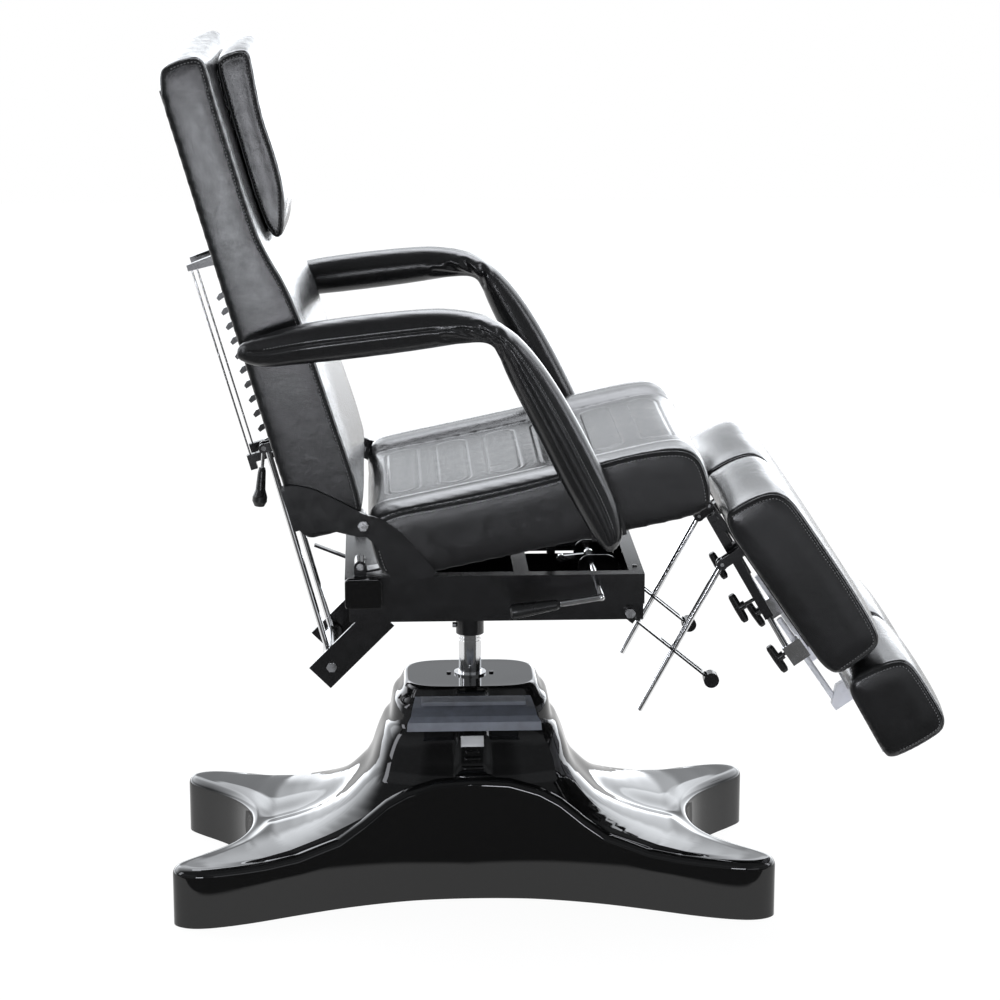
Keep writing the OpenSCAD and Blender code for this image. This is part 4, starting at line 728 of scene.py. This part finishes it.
calf_outline = [(1, 7), (3, 50), (8, 82), (18, 103), (38, 113), (64, 115), (130, 115), (207, 115), (286, 111),
                (312, 106), (323, 94), (325, 52), (325, 7), (230, 7), (110, 7)]
foot_outline = [(0, 0), (-1, 40), (3, 74), (10, 97), (24, 107), (52, 110), (90, 112), (126, 113), (142, 107),
                (149, 95), (151, 48), (148, 10), (142, 0), (74, 0)]
LEG_Y, LEG_HALF = 146, 138
for side, s in SIDES:
    cushion("calf_" + side, "calf_pad_" + side, "leg_" + side, LEG, [calf_outline, grown(calf_outline, 8)],
            LEG_HALF, keep=lambda x, z: z > 22, pin_h=14, y0=s * LEG_Y, voxel=5.5, low=6.5, belly=4.0)
    cushion("foot_" + side, "foot_cushion_" + side, "foot_" + side, FOOT,
            [foot_outline, grown(foot_outline, 8)], LEG_HALF, keep=lambda x, z: z > 20, pin_h=8,
            y0=s * LEG_Y, voxel=5.5, belly=4.0)


# Armrests: matched lines along the outer and inner edge (x, z), from the free end to the pivot

arm_outer = [(-366, 972), (-362, 980), (-328, 992), (-270, 1009), (-209, 1018), (-117, 1028), (-56, 1032),
             (-10, 1027), (21, 1018), (48, 1000), (67, 986), (98, 950), (129, 903), (160, 848), (191, 787),
             (215, 736), (226, 696), (228, 669), (219, 651), (211, 646)]
arm_inner = [(-369, 962), (-367, 954), (-332, 941), (-271, 947), (-209, 953), (-117, 964), (-56, 973),
             (-14, 980), (6, 981), (20, 978), (30, 970), (44, 932), (67, 885), (98, 824), (129, 761),
             (161, 705), (182, 668), (196, 651), (203, 646), (207, 645)]
ARM_Y = 334
ARM_SIDES, ARM_POWER = 40, 2.3
arm_rows = resample(chaikin(np.hstack([arm_outer, arm_inner]), False, 2), 7, False)
arm_mid = (arm_rows[:, :2] + arm_rows[:, 2:]) / 2
arm_up = (arm_rows[:, :2] - arm_rows[:, 2:]) / 2
arm_t = run_of(arm_mid) / run_of(arm_mid)[-1]
arm_wide = np.interp(arm_t, [0, 0.02, 0.06, 0.13, 0.5, 0.62, 0.9, 0.975, 1],
                     [6, 24, 42, 58, 60, 57, 54, 48, 20])
arm_drop = np.clip((arm_t - 0.47) / 0.12, 0, 1)
ARM_FOLDS = ((24, 978, 2, 1006), (16, 982, -24, 1000), (33, 966, 34, 998), (4, 984, -50, 990))


def arm_seam(s, across, start, end):
    """A line on the armrest's outer face, across from its inner (-1) to its outer (1) edge."""
    keep = (arm_t > start) & (arm_t < end)
    q = arm_mid + arm_up * np.asarray(across)[:, None]
    return np.stack([q[:, 0], s * (ARM_Y + arm_wide / 2), q[:, 1]], 1)[keep] * MM


def armrest(side, s):
    """A padded tube with two piped seams, one row of stitches and folds at the bend."""
    rings = []
    for mid, up, wide in zip(arm_mid, arm_up, arm_wide):
        ring = []
        for k in range(ARM_SIDES):
            a = 2 * math.pi * k / ARM_SIDES
            ca, sa = math.cos(a), math.sin(a)
            q = (abs(ca) ** ARM_POWER + abs(sa) ** ARM_POWER) ** (-1 / ARM_POWER)
            x, z = mid + up * q * ca
            ring.append((x * MM, s * (ARM_Y + q * sa * wide / 2) * MM, z * MM))
        rings.append(ring)
    body = "armrest_" + side
    obj = outward(smooth(rings_mesh("arm_" + side, rings, MATS["vinyl"])))
    pivot = np.array([0.206, s * 0.314, 0.68])
    inflate(obj, 4.5 * MM, 2 * MM, lambda co: np.linalg.norm(co - pivot, axis=1) < 0.03, pressure=1.5)
    seams = [arm_seam(s, 0.05 + 0.12 * arm_drop, 0.02, 0.975), arm_seam(s, 0.02 - 0.30 * arm_drop, 0.47, 0.975)]
    seams = [snapped(obj, q)[0] for q in seams]
    folds = []
    for x0, z0, x1, z1 in ARM_FOLDS:
        for face in (-1, 1):
            ends = np.array([(x0, s * (ARM_Y + face * 20), z0), (x1, s * (ARM_Y + face * 29), z1)]) * MM
            folds.append(snapped(obj, resample(ends, 4 * MM, False))[0])
    carve(obj, folds, 2.6, 5.0, 1.2)
    carve(obj, seams, 1.2, 2.6, 0.4)
    smooth(obj)
    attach(obj, "armrest_" + side)
    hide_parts("armrest_" + side)
    piping("arm_%s_piping" % side, obj, seams, body, radius=1.4)
    stitches("arm_%s_stitches" % side, obj, [arm_seam(s, 0.22 + 0.12 * arm_drop, 0.05, 0.96)], body,
             pitch=5.0, length=3.0, width=1.1)


for side, s in SIDES:
    armrest(side, s)


# Base cover: plan quarter, slope (distance from the hub, height) and top of the skirt

HUB_A, HUB_B, HUB_TOP = 105, 80, 351.8
PISTON_HOLE, EDGE_ROUND, COVER_WALL = 26, 14, 4
base_quarter = [(0, 143), (60, 145), (120, 152), (210, 176), (290, 208), (370, 243), (430, 261), (466, 262),
                (491, 247), (495, 224), (484, 203), (430, 150), (401, 112), (380, 58), (374, 0)]
slope_table = [(400, 100), (345, 100), (247, 105), (182, 122), (149, 134), (116, 152), (91, 176), (66, 205),
               (53, 248), (45, 266), (41, 275), (36, 280), (32, 285), (30, 292), (27, 312), (25, 320),
               (21, 326), (17, 330), (13, 336), (10, 343), (6, 349.5), (0, 352)]
slope_line = chaikin(slope_table, False, 1)[::-1]
skirt_top = np.array([(0, 211), (60, 208), (110, 194), (143, 177), (183, 146), (220, 122), (288, 104),
                      (340, 100), (500, 100)], float)
CHANNEL_HALF, CHANNEL_DEEP, CHANNEL_Z = 28, 8, 208
SLOT_HALF, SLOT_LOW, SLOT_HIGH = 15, 276, 334
VALLEY_START, VALLEY_WIDE, VALLEY_DEEP = 147, 42, 9
SLOPE_FOOT = 66


def hub_size(p):
    """How far out points are, where 1 is the hub's rounded outline."""
    return ((p[:, 0] / HUB_A) ** 4 + (p[:, 1] / HUB_B) ** 4) ** 0.25


def cover_z(p):
    """The cover's height outside the hub, with a shallow valley along the long arms."""
    z = np.interp((hub_size(p) - 1) * HUB_A, slope_line[:, 0], slope_line[:, 1])
    away = np.clip((np.abs(p[:, 0]) - VALLEY_START) / VALLEY_START, 0, 1)
    return z - VALLEY_DEEP * np.exp(-(p[:, 1] / VALLEY_WIDE) ** 2) * away


def step01(x):
    x = np.clip(x, 0, 1)
    return x * x * (3 - 2 * x)


def cut_slot(bm):
    """Opens the front of the hub for the pedal's arm."""
    slot = []
    for f in bm.faces:
        c = f.calc_center_median() / MM
        if abs(c.x) < SLOT_HALF and c.y < 0 and SLOT_LOW < c.z < SLOT_HIGH:
            slot.append(f)
    bmesh.ops.delete(bm, geom=slot, context="FACES")


def base_cover():
    """Rings from the floor up the skirt, over its edge, up the slopes and onto the hub's flat top."""
    half = base_quarter + [(x, -y) for x, y in base_quarter[-2::-1]]
    full = half + [(-x, y) for x, y in half[-2:0:-1]]
    o = resample(chaikin(full, True, 3), 5)
    o = o[::-1] if np.cross(o[0], o[1]) < 0 else o
    n = outline_normals(o)
    h = np.interp(np.abs(o[:, 0]), skirt_top[:, 0], skirt_top[:, 1])
    rings = [np.c_[o, 1 + k * (h - EDGE_ROUND - 1)] for k in (0, 0.25, 0.5, 0.75, 1)]
    for a in np.radians(np.linspace(12, 90, 7)):
        out = o - n * (EDGE_ROUND * (1 - math.cos(a)))
        rings.append(np.c_[out, h - EDGE_ROUND + EDGE_ROUND * math.sin(a)])
    p = o - n * EDGE_ROUND
    size = hub_size(p)
    foot = 1 + SLOPE_FOOT / HUB_A
    top = rings[-1][:, 2]
    for k in np.linspace(0.03, 1, 40):
        m = p * ((size + (foot - size) * k) / size)[:, None]
        f = min(1, k / 0.12)
        rings.append(np.c_[m, cover_z(m) * f + top * (1 - f)])
    steps = (np.linspace(62, 34, 8), np.linspace(32, 24, 7), np.linspace(21, 9, 5), np.linspace(7.5, 0, 6))
    for d in np.concatenate(steps):
        m = p * ((1 + d / HUB_A) / size)[:, None]
        rings.append(np.c_[m, cover_z(m)])
    for share, z in ((0.98, 352), (0.93, 351.9), (0.85, HUB_TOP), (0.7, HUB_TOP), (0.5, HUB_TOP)):
        rings.append(np.c_[p * (share / size)[:, None], np.full(len(p), float(z))])
    circle = p / np.linalg.norm(p, axis=1)[:, None] * PISTON_HOLE
    rings.append(np.c_[circle, np.full(len(p), HUB_TOP)])
    for r in rings:
        channel = step01((CHANNEL_HALF - np.abs(r[:, 0])) / 5) * step01((r[:, 2] - CHANNEL_Z) / 14)
        r[:, 1] += CHANNEL_DEEP * (r[:, 1] < 0) * channel * step01((351 - r[:, 2]) / 6)
    obj = rings_mesh("cover", [r * MM for r in rings], MATS["gloss_cover"], cap=False)
    edited(outward(obj), cut_slot)
    modified(obj, "SOLIDIFY", thickness=COVER_WALL * MM, offset=-1)
    smooth(baked(obj), 60)
    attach(obj, "base")
    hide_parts("base_cover")
    return obj


cover = base_cover()


def on_cover(name, x_half, z_low, z_high, proud, mat, soft=2.0):
    """A thin plate with rounded edges that lies on the front of the cover."""
    tree = BVHTree.FromObject(cover, bpy.context.evaluated_depsgraph_get())
    xs, zs = np.linspace(-x_half, x_half, 13), np.linspace(z_low, z_high, 7)
    front, back = [], []
    for z in zs:
        for x in xs:
            hit = tree.ray_cast(Vector((x * MM, -0.4, z * MM)), Vector((0, 1, 0)))[0]
            edge = min(x_half - abs(x), z - z_low, z_high - z)
            out = 0.2 + proud * math.sqrt(min(1, edge / soft + 0.05))
            front.append((x * MM, hit.y - out * MM, z * MM))
            back.append((x * MM, hit.y + 0.6 * MM, z * MM))
    w, rows = len(xs), len(zs)
    behind = rows * w
    faces = []
    for j in range(rows - 1):
        for i in range(w - 1):
            a = j * w + i
            faces.append((a, a + 1, a + w + 1, a + w))
            faces.append(tuple(behind + k for k in (a, a + w, a + w + 1, a + 1)))
    rim = [i for i in range(w)] + [j * w + w - 1 for j in range(1, rows)]
    rim += [(rows - 1) * w + i for i in range(w - 2, -1, -1)] + [j * w for j in range(rows - 2, 0, -1)]
    for a, c in zip(rim, rim[1:] + rim[:1]):
        faces.append((a, behind + a, behind + c, c))
    piece = outward(smooth(new_mesh(name, front + back, faces, mat), 50))
    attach(piece, "base")


on_cover("plate_blank", 19, 256, 273, 0.8, LABEL, 1.0)
for i, (z, half) in enumerate(((248, 13), (237, 15), (222, 18))):
    on_cover("rung_%d" % (i + 1), half, z - 3.2, z + 3.2, 3.0, MATS["gloss_cover"])


# Floor, room, lamps and camera

SHADOW_SHARE = 0.07
FLOOR_NEAR, FLOOR_FAR, FLOOR_BEND = -0.30, -0.325, 0.25


def floor_material():
    """White to the camera with a share of the real shadow; in reflections it is white near the object only."""
    s = Shader("floor_white")
    path = s.add("ShaderNodeLightPath")
    x, y, _ = s.axes(s.coord)
    line = s.calc("MULTIPLY_ADD", s.calc("ABSOLUTE", x), FLOOR_BEND, y)
    seen, mirror = s.add("ShaderNodeEmission"), s.add("ShaderNodeEmission")
    for glow in (seen, mirror):
        glow.inputs[0].default_value = (1, 1, 1, 1)
    seen.inputs[1].default_value = 1.03
    s.join(s.fade(line, FLOOR_FAR, FLOOR_NEAR, 0.10, 0.9), mirror.inputs[1])
    white = s.calc("MULTIPLY", path.outputs["Is Camera Ray"], 1 - SHADOW_SHARE)
    shown = s.mixed(white, s.bsdf.outputs[0], seen.outputs[0])
    shown = s.mixed(path.outputs["Is Glossy Ray"], shown, mirror.outputs[0])
    s.join(shown, s.out.inputs["Surface"])
    s.set(Base_Color=(0.9, 0.9, 0.9, 1), Roughness=0.6, Specular_IOR_Level=0.2)
    return s.mat


floor = new_mesh("floor", [(-9, -9, 0), (9, -9, 0), (9, 9, 0), (-9, 9, 0)], [(0, 1, 2, 3)], floor_material())


def studio_world():
    """White to the camera; as a light it is bright behind the object, with a band at the horizon, a soft box
    on each side and a bright upper part, and nearly dark in front."""
    world = bpy.data.worlds.new("studio")
    bpy.context.scene.world = world
    world.use_nodes = True
    w = Nodes(world.node_tree)
    x, y, z = w.axes(w.add("ShaderNodeTexCoord").outputs["Generated"])
    behind = w.fade(y, -0.10, 0.50, 0.07, 1.0)
    horizon = w.fade(z, 0.06, 0.20, 1.9, 0.0)
    boxes = w.calc("MULTIPLY", w.fade(w.calc("ABSOLUTE", x), 0.10, 0.26, 0.0, 2.2),
                   w.fade(z, 0.45, 0.75, 1.0, 0.0))
    upper = w.fade(z, 0.32, 0.38, 0.85, 2.9)
    room, white = w.add("ShaderNodeBackground"), w.add("ShaderNodeBackground")
    room.inputs[0].default_value = (0.93, 0.96, 1, 1)
    white.inputs[0].default_value = (1, 1, 1, 1)
    level = w.calc("MULTIPLY", behind, w.calc("ADD", w.calc("ADD", horizon, boxes), upper))
    w.join(level, room.inputs[1])
    shown = w.mixed(w.add("ShaderNodeLightPath").outputs["Is Camera Ray"], room.outputs[0], white.outputs[0])
    w.join(shown, w.add("ShaderNodeOutputWorld").inputs[0])


studio_world()

LAMPS = (
    ("top", (0.2, 1.3, 3.1), (0, 0, 0.6), (2.4, 1.6), 60),
    ("left", (-3.0, -0.9, 1.7), (0, 0, 0.8), (0.7, 1.7), 18),
    ("right", (3.1, -0.7, 1.7), (0.2, 0, 0.6), (0.7, 1.7), 18),
    ("low_right", (1.05, -2.5, 0.16), (0.6, 0, 0.55), (1.3, 0.8), 2.4),
    ("front", (-0.62, -5.5, 0.58), (-0.4, 0, 0.9), (1.5, 0.60), 46),
)
for name, at, look, size, power in LAMPS:
    data = bpy.data.lights.new(name, "AREA")
    data.shape = "RECTANGLE"
    data.size, data.size_y = size
    data.energy = power
    data.color = (0.92, 0.94, 1.0)
    lamp = bpy.data.objects.new(name, data)
    lamp.location = at
    lamp.rotation_euler = (Vector(look) - Vector(at)).to_track_quat("-Z", "Y").to_euler()
    bpy.context.scene.collection.objects.link(lamp)

PITCH, YAW, FOCAL = 0.2297, 0.0445, 2.9
data = bpy.data.cameras.new("camera")
data.sensor_width = 36
data.lens = 36 * FOCAL
data.clip_end = 60
camera = bpy.data.objects.new("camera", data)
camera.location = (-0.1591, -4.7153, 1.7553)
look = Vector((math.sin(YAW) * math.cos(PITCH), math.cos(YAW) * math.cos(PITCH), -math.sin(PITCH)))
camera.rotation_euler = look.to_track_quat("-Z", "Y").to_euler()
bpy.context.scene.collection.objects.link(camera)
bpy.context.scene.camera = camera
bpy.context.scene.view_settings.view_transform = "Standard"
